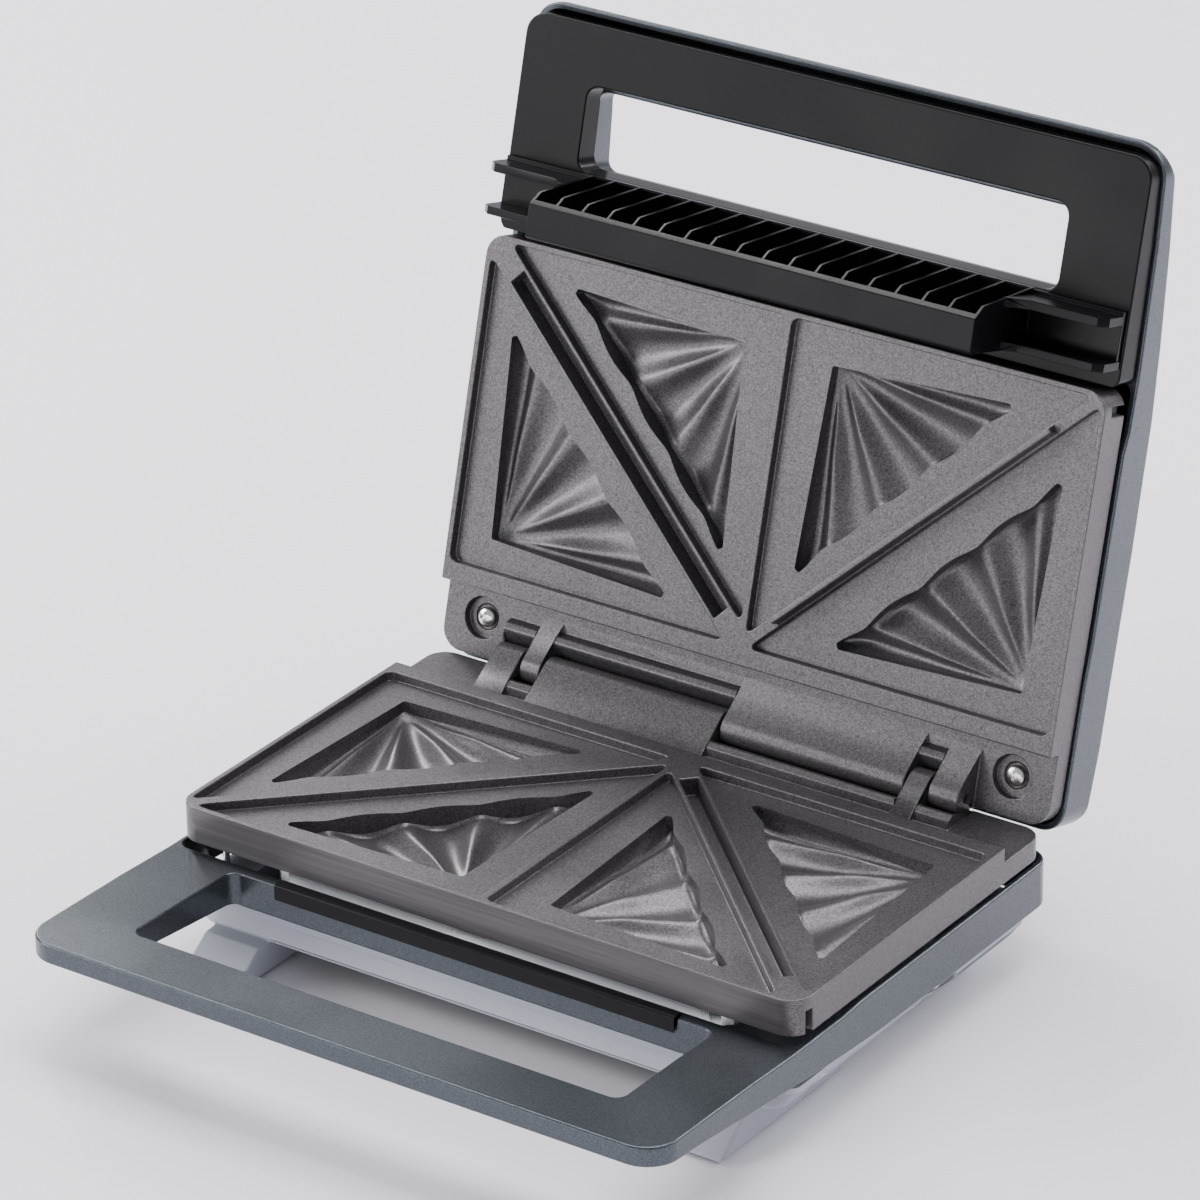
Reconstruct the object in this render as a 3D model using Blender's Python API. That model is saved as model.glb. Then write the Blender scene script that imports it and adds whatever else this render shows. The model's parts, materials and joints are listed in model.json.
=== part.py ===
"""Two-slice sandwich toaster with four triangular shell pockets, standing open.

Lengths below are metres. Every piece is drawn in a frame whose origin is the middle of the hinge axis:
x runs across, v runs forward from the hinge and w is the height over the plane where the two plates
meet. The base uses that frame as it stands, and the lid uses the same frame turned open about x.
"""
import math

import bmesh
import bpy
from mathutils import Matrix, Vector

MM = 0.001

# Placing of the hinge over the floor, and how far the lid stands open
HINGE_Y = 75.15 * MM
HINGE_Z = 54.2 * MM
OPEN_DEG = 105.4

# Housing and lid outline, shared by both halves
HALF_X = 126.4 * MM
BACK_V = -7.0 * MM
FRONT_V = 229.0 * MM
FRONT_CORNER = 12.0 * MM
BACK_CORNER = 9.0 * MM
WALL = 2.2 * MM
GAP = 0.3 * MM

# Plate casting, the same casting below and above
PLATE_HALF_X = 125.0 * MM
PLATE_BACK_V = -3.6 * MM
PLATE_FRONT_V = 146.8 * MM
PLATE_CORNER = 8.0 * MM
SEAM = 0.15 * MM
SKIRT = 13.2 * MM
SKIRT_WALL = 3.0 * MM
DECK_UNDER = 8.0 * MM
STEP_V = 21.9 * MM
STEP_W = 5.5 * MM
BAY_IN_X = 1.3 * MM
BAY_OUT_X = 122.8 * MM
BAY_BACK_V = 28.7 * MM
BAY_FRONT_V = 144.6 * MM
RECESS = 3.6 * MM
CELL_CORNER = 3.0 * MM
DIAGONAL = ((1.3 * MM, 30.2 * MM), (122.8 * MM, 145.2 * MM))
RIDGE_BASE = 2.2 * MM
RIDGE_CREST = 0.8 * MM
RIDGE_RISE = 4.0 * MM
RIDGE_FROM_X = 12.7 * MM
RIDGE_TO_X = 107.6 * MM
GROOVE_HALF = 3.4 * MM
GROOVE_LAND = 1.5 * MM
GROOVE_DEPTH = 6.8 * MM

# Shell pockets: the three sharp corners of each triangle, right angle first, then the flutes
FRONT_POCKET = ((9.2 * MM, 139.8 * MM), (102.1 * MM, 139.8 * MM), (9.2 * MM, 44.1 * MM))
BACK_POCKET = ((117.2 * MM, 30.9 * MM), (21.1 * MM, 30.9 * MM), (117.2 * MM, 126.7 * MM))
POCKET_DEPTH = 8.6 * MM
POCKET_CORNER = 8.0 * MM
POCKET_TIP = 4.5 * MM
FLUTES = 5
FLUTE_CREST = 0.42
SCALLOP = 0.8 * MM
LEG_RAMP = 10.0 * MM
LONG_RAMP = 7.0 * MM
POCKET_ROWS = (0.0, 0.08, 0.25, 0.55, 0.8, 0.92, 1.0)
COLUMNS_PER_FLUTE = 4

# Hinge
BARREL_R = 6.0 * MM
CLEAR_R = 6.7 * MM
LIP_PROFILE = (
    (14.0, -7.0), (13.2, -5.5), (12.5, -3.2), (11.5, -1.9), (10.3, -1.4), (8.8, -1.6), (2.0, -4.0), (2.0, -7.0),
)
ARM_V = 17.0 * MM
BORE_R = 1.68 * MM
PIN_R = 1.6 * MM
FULL_RANGES = ((-96.0, -84.5), (-74.5, -0.5), (75.5, 83.5))
CLEAR_RANGES = ((-84.5, -74.5), (-0.5, 75.5), (83.5, 97.0))
PIN_FROM_X = 60.0 * MM
PIN_TO_X = 94.0 * MM

# Screws that hold the plates
SCREW_X = 109.0 * MM
SCREW_V = 10.5 * MM
COUNTERBORE_R = 7.5 * MM
COUNTERBORE_DEEP = 3.0 * MM
SCREW_HOLE_R = 2.4 * MM
SCREW_HEAD_R = 3.4 * MM
SCREW_HEAD_H = 1.9 * MM
SCREW_SHANK_R = 1.9 * MM
SCREW_LONG = 16.0 * MM

# Hand openings
OPENING_HALF_X = 97.0 * MM
OPENING_CORNER = 4.0 * MM
LOWER_OPENING_V = (153.1 * MM, 206.3 * MM)
UPPER_OPENING_V = (173.0 * MM, 201.0 * MM)
FRAME_OPENING_V = (174.7 * MM, 203.5 * MM)
FRAME_OPENING_HALF_X = 96.0 * MM

# Finger guard
TRAY_HALF_X = 89.0 * MM
RIB_COUNT = 16
RIB_FROM_X = -78.9 * MM
RIB_PITCH = 10.45 * MM
RIB_THICK = 1.2 * MM

# Bottom cover and feet
COVER_TOP_W = -31.9 * MM
COVER_LOW_W = -41.7 * MM
FOOT_LOW_W = -53.0 * MM
PAD_R = 7.0 * MM
PAD_LOW_W = -54.2 * MM
PAD_SEAT_DEEP = 1.4 * MM
PAD_X = 98.2 * MM
PAD_V = (13.0 * MM, 150.0 * MM)
FRONT_FOOT_X = (87.0 * MM, 109.4 * MM)
FRONT_FOOT = ((96.0, -40.6), (138.0, -40.6), (153.6, -41.7), (168.6, -52.4), (167.6, -53.0), (97.6, -53.0))
BACK_FOOT_X = (87.0 * MM, 107.0 * MM)
BACK_FOOT = ((1.0, -40.6), (38.0, -40.6), (34.0, -53.0), (4.0, -53.0))
BACK_HAUNCH_X = (106.0 * MM, 118.4 * MM)
BACK_HAUNCH_V = (-1.0 * MM, 41.0 * MM)
COVER_SCREW_X = 119.4 * MM
COVER_SCREW_V = (60.0 * MM, 128.0 * MM)
COVER_COLUMN_X = 100.0 * MM
COVER_COLUMN_V = (26.0 * MM, 134.0 * MM)
COVER_COLUMN_TOP_W = -15.6 * MM

# Strip over the back edge of the lower hand opening, signal lamps and mains inlet
STRIP_X = (-79.0 * MM, 82.0 * MM)
LAMP_X = 9.0 * MM
LAMP_V = 118.0 * MM
GLAND_X = -85.0 * MM
GLAND_W = -24.0 * MM

ROUND_STEPS = 3
CIRCLE = 24
SMALL_CIRCLE = 14

SHELL_GREY = (0.105, 0.122, 0.142, 1.0)
PLATE_GREY = (0.135, 0.130, 0.138, 1.0)
BLACK = (0.018, 0.018, 0.022, 1.0)
FOOT_GREY = (0.38, 0.40, 0.45, 1.0)
STEEL = (0.55, 0.55, 0.56, 1.0)
ALUMINIUM = (0.70, 0.71, 0.72, 1.0)
RUBBER = (0.03, 0.03, 0.03, 1.0)
CREAM = (0.62, 0.58, 0.48, 1.0)
RED = (0.55, 0.03, 0.02, 1.0)
GREEN = (0.03, 0.42, 0.08, 1.0)
COPPER_WIRE = (0.42, 0.30, 0.12, 1.0)
BLUE_WIRE = (0.05, 0.12, 0.35, 1.0)


def clear_scene():
    for obj in list(bpy.data.objects):
        bpy.data.objects.remove(obj, do_unlink=True)


def finish(name, base_color, metallic, roughness):
    material = bpy.data.materials.new(name)
    material.use_nodes = True
    shader = material.node_tree.nodes["Principled BSDF"]
    shader.inputs["Base Color"].default_value = base_color
    shader.inputs["Metallic"].default_value = metallic
    shader.inputs["Roughness"].default_value = roughness
    return material


# ---------------------------------------------------------------- outlines

def rounded(corners, radii, steps=ROUND_STEPS):
    """A closed outline with each corner swept round by its own radius."""
    outline = []
    count = len(corners)
    for i in range(count):
        here = Vector(corners[i])
        to_last = (Vector(corners[i - 1]) - here).normalized()
        to_next = (Vector(corners[(i + 1) % count]) - here).normalized()
        radius = radii[i] if isinstance(radii, (list, tuple)) else radii
        if radius <= 0.0:
            outline.append((here.x, here.y))
            continue
        half = to_last.angle(to_next) / 2.0
        centre = here + (to_last + to_next).normalized() * radius / math.sin(half)
        start = here + to_last * radius / math.tan(half) - centre
        sweep = math.pi - 2.0 * half
        side = 1.0 if to_last.x * to_next.y - to_last.y * to_next.x < 0.0 else -1.0
        for k in range(steps + 1):
            turn = side * sweep * k / steps
            outline.append((
                centre.x + start.x * math.cos(turn) - start.y * math.sin(turn),
                centre.y + start.x * math.sin(turn) + start.y * math.cos(turn),
            ))
    return outline


def box_outline(half_x, v0, v1, back_radius, front_radius):
    corners = ((-half_x, v0), (half_x, v0), (half_x, v1), (-half_x, v1))
    return rounded(corners, (back_radius, back_radius, front_radius, front_radius))


def circle(radius, centre=(0.0, 0.0), steps=CIRCLE):
    return [
        (
            centre[0] + radius * math.cos(2.0 * math.pi * k / steps),
            centre[1] + radius * math.sin(2.0 * math.pi * k / steps),
        )
        for k in range(steps)
    ]


# ---------------------------------------------------------------- solids

def place(x, v, w):
    """A point of the hinge frame as Blender's x, y, z: forward is -y."""
    return Vector((x, -v, w))


def to_object(name, bm):
    bmesh.ops.remove_doubles(bm, verts=bm.verts, dist=1e-7)
    bmesh.ops.recalc_face_normals(bm, faces=bm.faces)
    mesh = bpy.data.meshes.new(name)
    bm.to_mesh(mesh)
    bm.free()
    obj = bpy.data.objects.new(name, mesh)
    bpy.context.scene.collection.objects.link(obj)
    return obj


def loft(name, loops):
    """A closed solid through loops of equal length, capped at both ends."""
    bm = bmesh.new()
    rings = [[bm.verts.new(point) for point in loop] for loop in loops]
    for low, high in zip(rings, rings[1:]):
        for k in range(len(low)):
            n = (k + 1) % len(low)
            bm.faces.new((low[k], low[n], high[n], high[k]))
    bm.faces.new(rings[0])
    bm.faces.new(rings[-1])
    return to_object(name, bm)


def slab(name, outline, w0, w1):
    """An outline in x and v, thickened between two heights."""
    return loft(name, [[place(x, v, w) for x, v in outline] for w in (w0, w1)])


def bar(name, profile, x0, x1):
    """A side profile in v and w, stretched across between two values of x."""
    return loft(name, [[place(x, v, w) for v, w in profile] for x in (x0, x1)])


def across_back(name, profile):
    """A round piece lying front to back at the gland, from (radius, distance behind the axis) pairs in mm."""
    return loft(name, [
        [Vector((GLAND_X + x, y * MM, GLAND_W + w)) for x, w in circle(r * MM)] for r, y in profile
    ])


def block(name, x, v, w):
    return slab(name, ((x[0], v[0]), (x[1], v[0]), (x[1], v[1]), (x[0], v[1])), w[0], w[1])


def post(name, x, v, radius, w0, w1):
    return slab(name, circle(radius, (x, v), SMALL_CIRCLE), w0, w1)


def rod(name, v, w, radius, x0, x1):
    return bar(name, circle(radius, (v, w)), x0, x1)


def turned(name, x, v, profile):
    """A round piece standing on (x, v), from (radius, height) pairs listed bottom to top."""
    return loft(name, [
        [place(px, pv, w) for px, pv in circle(r, (x, v), SMALL_CIRCLE)] for r, w in profile
    ])


def tube(name, path, radius, steps=10):
    """A round tube along a smooth path, capped flat at both ends."""
    loops = []
    for i, point in enumerate(path):
        before = path[max(i - 1, 0)]
        after = path[min(i + 1, len(path) - 1)]
        along = (after - before).normalized()
        side = along.cross(Vector((0.0, 0.0, 1.0)))
        if side.length < 0.1:
            side = Vector((1.0, 0.0, 0.0))
        side.normalize()
        up = side.cross(along)
        loops.append([
            point
            + side * radius * math.cos(2.0 * math.pi * k / steps)
            + up * radius * math.sin(2.0 * math.pi * k / steps)
            for k in range(steps)
        ])
    return loft(name, loops)


def joined(name, pieces):
    """Several separate closed pieces in one mesh, to cut or add in one go."""
    bm = bmesh.new()
    for piece in pieces:
        bm.from_mesh(piece.data)
        bpy.data.objects.remove(piece, do_unlink=True)
    return to_object(name, bm)


def combine(target, other, operation):
    """Adds, cuts or intersects another solid at once, and removes the helper."""
    step = target.modifiers.new("shape", "BOOLEAN")
    step.operation = operation
    step.solver = "EXACT"
    step.object = other
    graph = bpy.context.evaluated_depsgraph_get()
    mesh = bpy.data.meshes.new_from_object(target.evaluated_get(graph))
    target.modifiers.clear()
    target.data = mesh
    bpy.data.objects.remove(other, do_unlink=True)


def cut(target, *cutters):
    for cutter in cutters:
        combine(target, cutter, "DIFFERENCE")


def add(target, *others):
    for other in others:
        combine(target, other, "UNION")


def keep(target, other):
    combine(target, other, "INTERSECT")


# ---------------------------------------------------------------- shell pocket

def along(points, share):
    """The point at a share of the length of an open line."""
    lengths = [(Vector(b) - Vector(a)).length for a, b in zip(points, points[1:])]
    target = share * sum(lengths)
    for a, b, length in zip(points, points[1:], lengths):
        if target <= length:
            return Vector(a).lerp(Vector(b), target / length)
        target -= length
    return Vector(points[-1])


def line_distance(point, a, b):
    edge = (Vector(b) - Vector(a)).normalized()
    offset = point - Vector(a)
    return abs(edge.x * offset.y - edge.y * offset.x)


def ramp(distance, width):
    return math.sqrt(max(0.0, 1.0 - (1.0 - min(distance / width, 1.0)) ** 2))


def pocket_cutter(name, corners, mirror):
    """A fan of flutes sinking from the right-angled corner to the scalloped long side."""
    square, tip_a, tip_b = (Vector(c) for c in corners)
    outline = rounded(corners, (POCKET_CORNER, POCKET_TIP, POCKET_TIP), 4)
    near, far_a, far_b = outline[0:5], outline[5:10], outline[10:15]
    long_side = (tip_b - tip_a).normalized()
    outward = Vector((long_side.y, -long_side.x))
    if outward.dot(tip_a - square) < 0.0:
        outward = -outward
    far = far_a + far_b
    columns = FLUTES * COLUMNS_PER_FLUTE
    near_line = list(reversed(near))
    grid = []
    for i in range(columns + 1):
        share = i / columns
        start = along(near_line, share)
        end = along(far, share)
        swell = abs(math.sin(math.pi * FLUTES * share))
        inside = math.sin(math.pi * share) > 0.3
        end = end + outward * SCALLOP * (swell if inside else 0.0)
        line = []
        for r in POCKET_ROWS:
            leg_a = near_line[0][0] * (1 - r) + far[0][0] * r, near_line[0][1] * (1 - r) + far[0][1] * r
            leg_b = near_line[-1][0] * (1 - r) + far[-1][0] * r, near_line[-1][1] * (1 - r) + far[-1][1] * r
            straight = start * (1 - r) + end * r
            sides = Vector(leg_a) * (1 - share) + Vector(leg_b) * share
            corners_mix = (
                (Vector(near_line[0]) * (1 - share) + Vector(near_line[-1]) * share) * (1 - r)
                + (Vector(far[0]) * (1 - share) + Vector(far[-1]) * share) * r
            )
            point = straight + sides - corners_mix
            edge = r in (POCKET_ROWS[0], POCKET_ROWS[-1]) or i in (0, columns)
            depth = 0.0
            if not edge:
                walls = (
                    ramp(line_distance(point, square, tip_a), LEG_RAMP)
                    * ramp(line_distance(point, square, tip_b), LEG_RAMP)
                    * ramp(line_distance(point, tip_a, tip_b) + SCALLOP, LONG_RAMP)
                )
                crest = (1.0 - swell) * min(1.0, r / 0.3)
                depth = POCKET_DEPTH * walls * (1.0 - FLUTE_CREST * crest)
            line.append(place(point.x * mirror, point.y, -RECESS - 0.15 * MM - depth))
        grid.append(line)
    bm = bmesh.new()
    verts = [[bm.verts.new(p) for p in line] for line in grid]
    for a, b in zip(verts, verts[1:]):
        for k in range(len(a) - 1):
            bm.faces.new((a[k], b[k], b[k + 1], a[k + 1]))
    rim = [column[0] for column in verts] + verts[-1][1:]
    rim += [column[-1] for column in reversed(verts[:-1])] + list(reversed(verts[0][1:-1]))
    lifted = [bm.verts.new((v.co.x, v.co.y, -RECESS + 1.2 * MM)) for v in rim]
    for k in range(len(rim)):
        n = (k + 1) % len(rim)
        bm.faces.new((rim[k], rim[n], lifted[n], lifted[k]))
    bm.faces.new(lifted)
    return to_object(name, bm)


def pocket_back(name, corners, mirror):
    """The bulge of metal that a pocket makes on the underside."""
    outer = rounded(corners, (POCKET_CORNER, POCKET_TIP, POCKET_TIP), 3)
    middle = sum((Vector(p) for p in outer), Vector((0.0, 0.0))) / len(outer)
    loops = []
    for grow, w in ((3.0 * MM, -6.0 * MM), (1.5 * MM, -11.0 * MM), (-6.0 * MM, -14.6 * MM)):
        loop = []
        for p in outer:
            away = Vector(p) - middle
            moved = Vector(p) + away.normalized() * grow
            loop.append(place(moved.x * mirror, moved.y, w))
        loops.append(loop)
    return loft(name, loops)


# ---------------------------------------------------------------- plate casting

def diagonal_point(share, offset):
    """A point beside the diagonal of the bay on the right."""
    a, b = Vector(DIAGONAL[0]), Vector(DIAGONAL[1])
    run = (b - a).normalized()
    side = Vector((-run.y, run.x))
    return a.lerp(b, share) + side * offset


def cell(name, front, half_band, mirror):
    """One of the two sunk triangles of a bay, beside the diagonal."""
    side = 1.0 if front else -1.0
    run_a, run_b = diagonal_point(0.0, side * half_band), diagonal_point(1.0, side * half_band)
    slope = (run_b.y - run_a.y) / (run_b.x - run_a.x)
    if front:
        corner = (BAY_IN_X, BAY_FRONT_V)
        on_x = (BAY_IN_X, run_a.y + slope * (BAY_IN_X - run_a.x))
        on_v = (run_a.x + (BAY_FRONT_V - run_a.y) / slope, BAY_FRONT_V)
    else:
        corner = (BAY_OUT_X, BAY_BACK_V)
        on_x = (BAY_OUT_X, run_a.y + slope * (BAY_OUT_X - run_a.x))
        on_v = (run_a.x + (BAY_BACK_V - run_a.y) / slope, BAY_BACK_V)
    outline = rounded((corner, on_v, on_x), (CELL_CORNER, CELL_CORNER / 2, CELL_CORNER / 2))
    return slab(name, [(x * mirror, v) for x, v in outline], -RECESS, 3.0 * MM)


def diagonal_bar(name, x_from, x_to, low_half, high_half, low_w, high_w, mirror):
    """A straight bar along the diagonal, narrower at one height than at the other."""
    a, b = Vector(DIAGONAL[0]), Vector(DIAGONAL[1])
    share_a = (x_from - a.x) / (b.x - a.x)
    share_b = (x_to - a.x) / (b.x - a.x)
    loops = []
    for half, w in ((low_half, low_w), (high_half, high_w)):
        ends = (
            diagonal_point(share_a, half), diagonal_point(share_a, -half),
            diagonal_point(share_b, -half), diagonal_point(share_b, half),
        )
        loops.append([place(p.x * mirror, p.y, w) for p in ends])
    return loft(name, loops)


def hinge_profile(full):
    """Side view of the hinge strip: the arm with its barrel, or the space that clears the other half's arm."""
    slope = math.atan2(4.46 + 5.5, ARM_V / MM - 4.0)
    touch = math.pi / 2.0 - slope
    if full:
        turns = [touch + (math.radians(232.0) - touch) * k / 12 for k in range(13)]
        arc = [(BARREL_R * math.cos(t), BARREL_R * math.sin(t)) for t in turns]
        return [(ARM_V, -STEP_W)] + arc + [(PLATE_BACK_V, -9.0 * MM), (ARM_V, -9.0 * MM)]
    near = (CLEAR_R * math.cos(touch), -CLEAR_R * math.sin(touch))
    far_v = 22.0 * MM
    far = (far_v, near[1] + (far_v - near[0]) * math.tan(slope))
    return [(0.0, 0.0), near, far, (far_v, 14.0 * MM), (0.0, 14.0 * MM)]


def plate_casting(name, screwed):
    """The cast plate with its bays, pockets, diagonal ridge and groove, its half of the hinge, and screw seats."""
    outline = box_outline(PLATE_HALF_X, PLATE_BACK_V, PLATE_FRONT_V, PLATE_CORNER, PLATE_CORNER)
    body = slab(name, outline, -SKIRT, -SEAM)
    cut(body, block("step", (-0.2, 0.2), (-0.02, STEP_V), (-STEP_W, 0.01)))
    cut(body, slab("under", box_outline(
        PLATE_HALF_X - SKIRT_WALL, STEP_V + 3.0 * MM, PLATE_FRONT_V - SKIRT_WALL, 5.0 * MM, 5.0 * MM,
    ), -0.02, -DECK_UNDER))
    for mirror, side in ((1.0, "right"), (-1.0, "left")):
        add(body, pocket_back("bulge", FRONT_POCKET, mirror), pocket_back("bulge", BACK_POCKET, mirror))
        half_band = GROOVE_HALF + GROOVE_LAND if side == "right" else RIDGE_BASE
        cut(body, cell("cell", True, half_band, mirror), cell("cell", False, half_band, mirror))
        cut(body, pocket_cutter("pocket", FRONT_POCKET, mirror), pocket_cutter("pocket", BACK_POCKET, mirror))
    add(body, diagonal_bar(
        "ridge", RIDGE_FROM_X, RIDGE_TO_X, RIDGE_BASE - 0.1 * MM, RIDGE_CREST, -RECESS - 1.0 * MM, RIDGE_RISE, -1.0,
    ))
    cut(body, diagonal_bar(
        "groove", RIDGE_FROM_X - 3.0 * MM, RIDGE_TO_X + 3.0 * MM, GROOVE_HALF - 0.6 * MM, GROOVE_HALF + 0.2 * MM,
        -GROOVE_DEPTH, 2.0 * MM, 1.0,
    ))
    for x0, x1 in CLEAR_RANGES:
        add(body, bar("lip", edge_profile(LIP_PROFILE), (x0 - 0.2) * MM, (x1 + 0.2) * MM))
        cut(body, bar("arm_way", hinge_profile(False), x0 * MM, x1 * MM))
        cut(body, rod("clear", 0.0, 0.0, CLEAR_R, x0 * MM, x1 * MM))
    for x0, x1 in FULL_RANGES:
        add(body, bar("arm", hinge_profile(True), x0 * MM, x1 * MM))
    cut(body, rod("bore", 0.0, 0.0, BORE_R, -PIN_TO_X - 4.0 * MM, -PIN_FROM_X + 2.0 * MM))
    cut(body, rod("bore", 0.0, 0.0, BORE_R, PIN_FROM_X - 2.0 * MM, PIN_TO_X + 4.0 * MM))
    for side in (-1.0, 1.0):
        if screwed:
            x = side * SCREW_X
            cut(body, post("seat", x, SCREW_V, COUNTERBORE_R, -STEP_W - COUNTERBORE_DEEP, 0.01))
            cut(body, post("hole", x, SCREW_V, SCREW_HOLE_R, -0.03, 0.01))
        edge = side * PLATE_HALF_X
        cut(body, block("notch", sorted((edge - side * 5.0 * MM, edge + side * 2.0 * MM)),
                        (138.2 * MM, 141.6 * MM), (-0.02, -5.0 * MM)))
    return body


# ---------------------------------------------------------------- housings

LOWER_TOP_EDGE = (
    (-12.0, -14.9), (110.0, -14.9), (122.0, -15.7), (150.0, -15.7), (176.0, -14.6), (204.0, -14.0), (235.0, -13.5),
)
LOWER_UNDER_EDGE = (
    (235.0, -20.4), (204.0, -22.4), (176.0, -25.3), (142.0, -28.6), (118.0, -30.4), (100.0, -31.3),
    (75.0, -31.6), (-12.0, -31.6),
)
UPPER_RIM_EDGE = (
    (-12.0, 14.0), (45.0, 14.0), (60.0, 14.9), (125.0, 14.9), (132.0, 16.5), (150.0, 17.0), (195.0, 15.3),
    (222.0, 12.6), (235.0, 9.5),
)
UPPER_OUTER_EDGE = (
    (235.0, 14.0), (228.0, 16.7), (219.0, 21.3), (194.0, 25.9), (160.0, 30.4), (135.0, 32.8), (90.0, 33.8),
    (20.0, 33.4), (-2.0, 31.6), (-12.0, 26.0),
)


def edge_profile(*edges):
    return [(v * MM, w * MM) for edge in edges for v, w in edge]


def shell_outline(inset=0.0):
    return box_outline(
        HALF_X - inset, BACK_V + inset, FRONT_V - inset, BACK_CORNER - inset, FRONT_CORNER - inset,
    )


def drafted_hole(name, half_x, v_range, corner, w_small, w_large, draft):
    """A hand opening whose walls lean outward by the draft."""
    loops = []
    for grow, w in ((0.0, w_small), (draft, w_large)):
        outline = box_outline(half_x + grow, v_range[0] - grow, v_range[1] + grow, corner, corner)
        loops.append([place(x, v, w) for x, v in outline])
    return loft(name, loops)


def lower_housing():
    body = slab("lower_housing", shell_outline(), -0.05, 0.0)
    keep(body, bar("profile", edge_profile(LOWER_TOP_EDGE, LOWER_UNDER_EDGE), -0.2, 0.2))
    cut(body, slab("cavity", box_outline(
        HALF_X - WALL, BACK_V + WALL, 147.6 * MM, 6.0 * MM, 3.0 * MM), -0.06, 0.01))
    hollow = slab("hollow", box_outline(HALF_X - WALL, 145.0 * MM, FRONT_V - WALL, 3.0 * MM, 9.0 * MM), -0.06, 0.0)
    low = [(v, w - 2.2) for v, w in LOWER_TOP_EDGE]
    keep(hollow, bar("ceiling", edge_profile(low, ((235.0, -50.0), (-12.0, -50.0))), -0.2, 0.2))
    cut(hollow, slab("island", box_outline(
        OPENING_HALF_X + WALL, LOWER_OPENING_V[0] - 8.0 * MM, LOWER_OPENING_V[1] + WALL, 5.0 * MM, 5.0 * MM),
        -0.07, 0.01))
    cut(body, hollow)
    cut(body, drafted_hole(
        "opening", OPENING_HALF_X, LOWER_OPENING_V, OPENING_CORNER, -5.0 * MM, -40.0 * MM, 0.8 * MM))
    cut(body, block("strip_seat", (STRIP_X[0] - GAP, STRIP_X[1] + GAP), (149.2 * MM, 0.16), (-18.6 * MM, 0.0)))
    for x in (-1.0, 1.0):
        for v in COVER_SCREW_V:
            add(body, post("boss", x * COVER_SCREW_X, v, 5.4 * MM, -31.3 * MM, -18.0 * MM))
            cut(body, post("pilot", x * COVER_SCREW_X, v, 1.5 * MM, -0.05, -21.0 * MM))
    cut(body, across_back("gland_hole", [(6.3, 0.0), (6.3, 20.0)]))
    return body


def handle_edge_strip():
    """Black insert over the back edge of the lower hand opening."""
    profile = [
        (149.5, -18.3), (149.5, -14.9), (150.1, -14.5), (153.2, -14.8), (153.9, -15.6), (153.9, -20.5),
        (153.35, -20.5), (153.35, -18.3),
    ]
    return bar("handle_edge_strip", edge_profile(profile), STRIP_X[0], STRIP_X[1])


def lid_shell():
    body = slab("lid_shell", shell_outline(), 0.0, 0.05)
    keep(body, bar("profile", edge_profile(UPPER_RIM_EDGE, UPPER_OUTER_EDGE), -0.2, 0.2))
    inner = [(v, w - 2.2) for v, w in UPPER_OUTER_EDGE]
    cavity = slab("cavity", box_outline(
        HALF_X - WALL, BACK_V + WALL, 148.4 * MM, 6.0 * MM, 4.0 * MM), 0.0, 0.06)
    keep(cavity, bar("roof", edge_profile(((-12.0, 0.0), (235.0, 0.0)), inner), -0.2, 0.2))
    cut(body, cavity)
    hollow = slab("hollow", box_outline(HALF_X - WALL, 151.0 * MM, FRONT_V - WALL, 4.0 * MM, 9.5 * MM), 0.0, 0.06)
    keep(hollow, bar("roof", edge_profile(((-12.0, 0.0), (235.0, 0.0)), inner), -0.2, 0.2))
    cut(hollow, slab("island", box_outline(
        OPENING_HALF_X + WALL, UPPER_OPENING_V[0] - WALL, UPPER_OPENING_V[1] + WALL, 6.0 * MM, 6.0 * MM),
        -0.01, 0.07))
    cut(body, hollow)
    cut(body, drafted_hole(
        "opening", OPENING_HALF_X, UPPER_OPENING_V, OPENING_CORNER, 5.0 * MM, 40.0 * MM, 1.0 * MM))
    for x in (-LAMP_X, LAMP_X):
        cut(body, post("lamp_hole", x, LAMP_V, 3.6 * MM, 25.0 * MM, 45.0 * MM))
    for x in (-SCREW_X, SCREW_X):
        add(body, post("boss", x, SCREW_V, 5.4 * MM, SKIRT + GAP, 32.0 * MM))
        cut(body, post("pilot", x, SCREW_V, 2.2 * MM, 5.0 * MM, 26.0 * MM))
    return body


def lid_inner_frame():
    """Black frame that lines the handle end of the lid."""
    body = slab("lid_inner_frame", box_outline(
        PLATE_HALF_X, 148.0 * MM, 225.0 * MM, 3.0 * MM, PLATE_CORNER), 0.0, 0.04)
    back = [(v, w - GAP / MM) for v, w in UPPER_RIM_EDGE]
    keep(body, bar("profile", edge_profile([(235.0, 6.0), (-12.0, 6.0)], back), -0.2, 0.2))
    hollow = slab("hollow", box_outline(
        PLATE_HALF_X - WALL, 150.4 * MM, 222.8 * MM, 3.0 * MM, 6.0 * MM), 8.2 * MM, 0.05)
    cut(hollow, slab("island", box_outline(
        FRAME_OPENING_HALF_X + WALL, FRAME_OPENING_V[0] - WALL, FRAME_OPENING_V[1] + WALL, 6.0 * MM, 6.0 * MM),
        0.0, 0.06))
    cut(body, hollow)
    cut(body, drafted_hole(
        "opening", FRAME_OPENING_HALF_X, FRAME_OPENING_V, 5.0 * MM, 20.0 * MM, -5.0 * MM, 0.8 * MM))
    return body


# ---------------------------------------------------------------- finger guard

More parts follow.
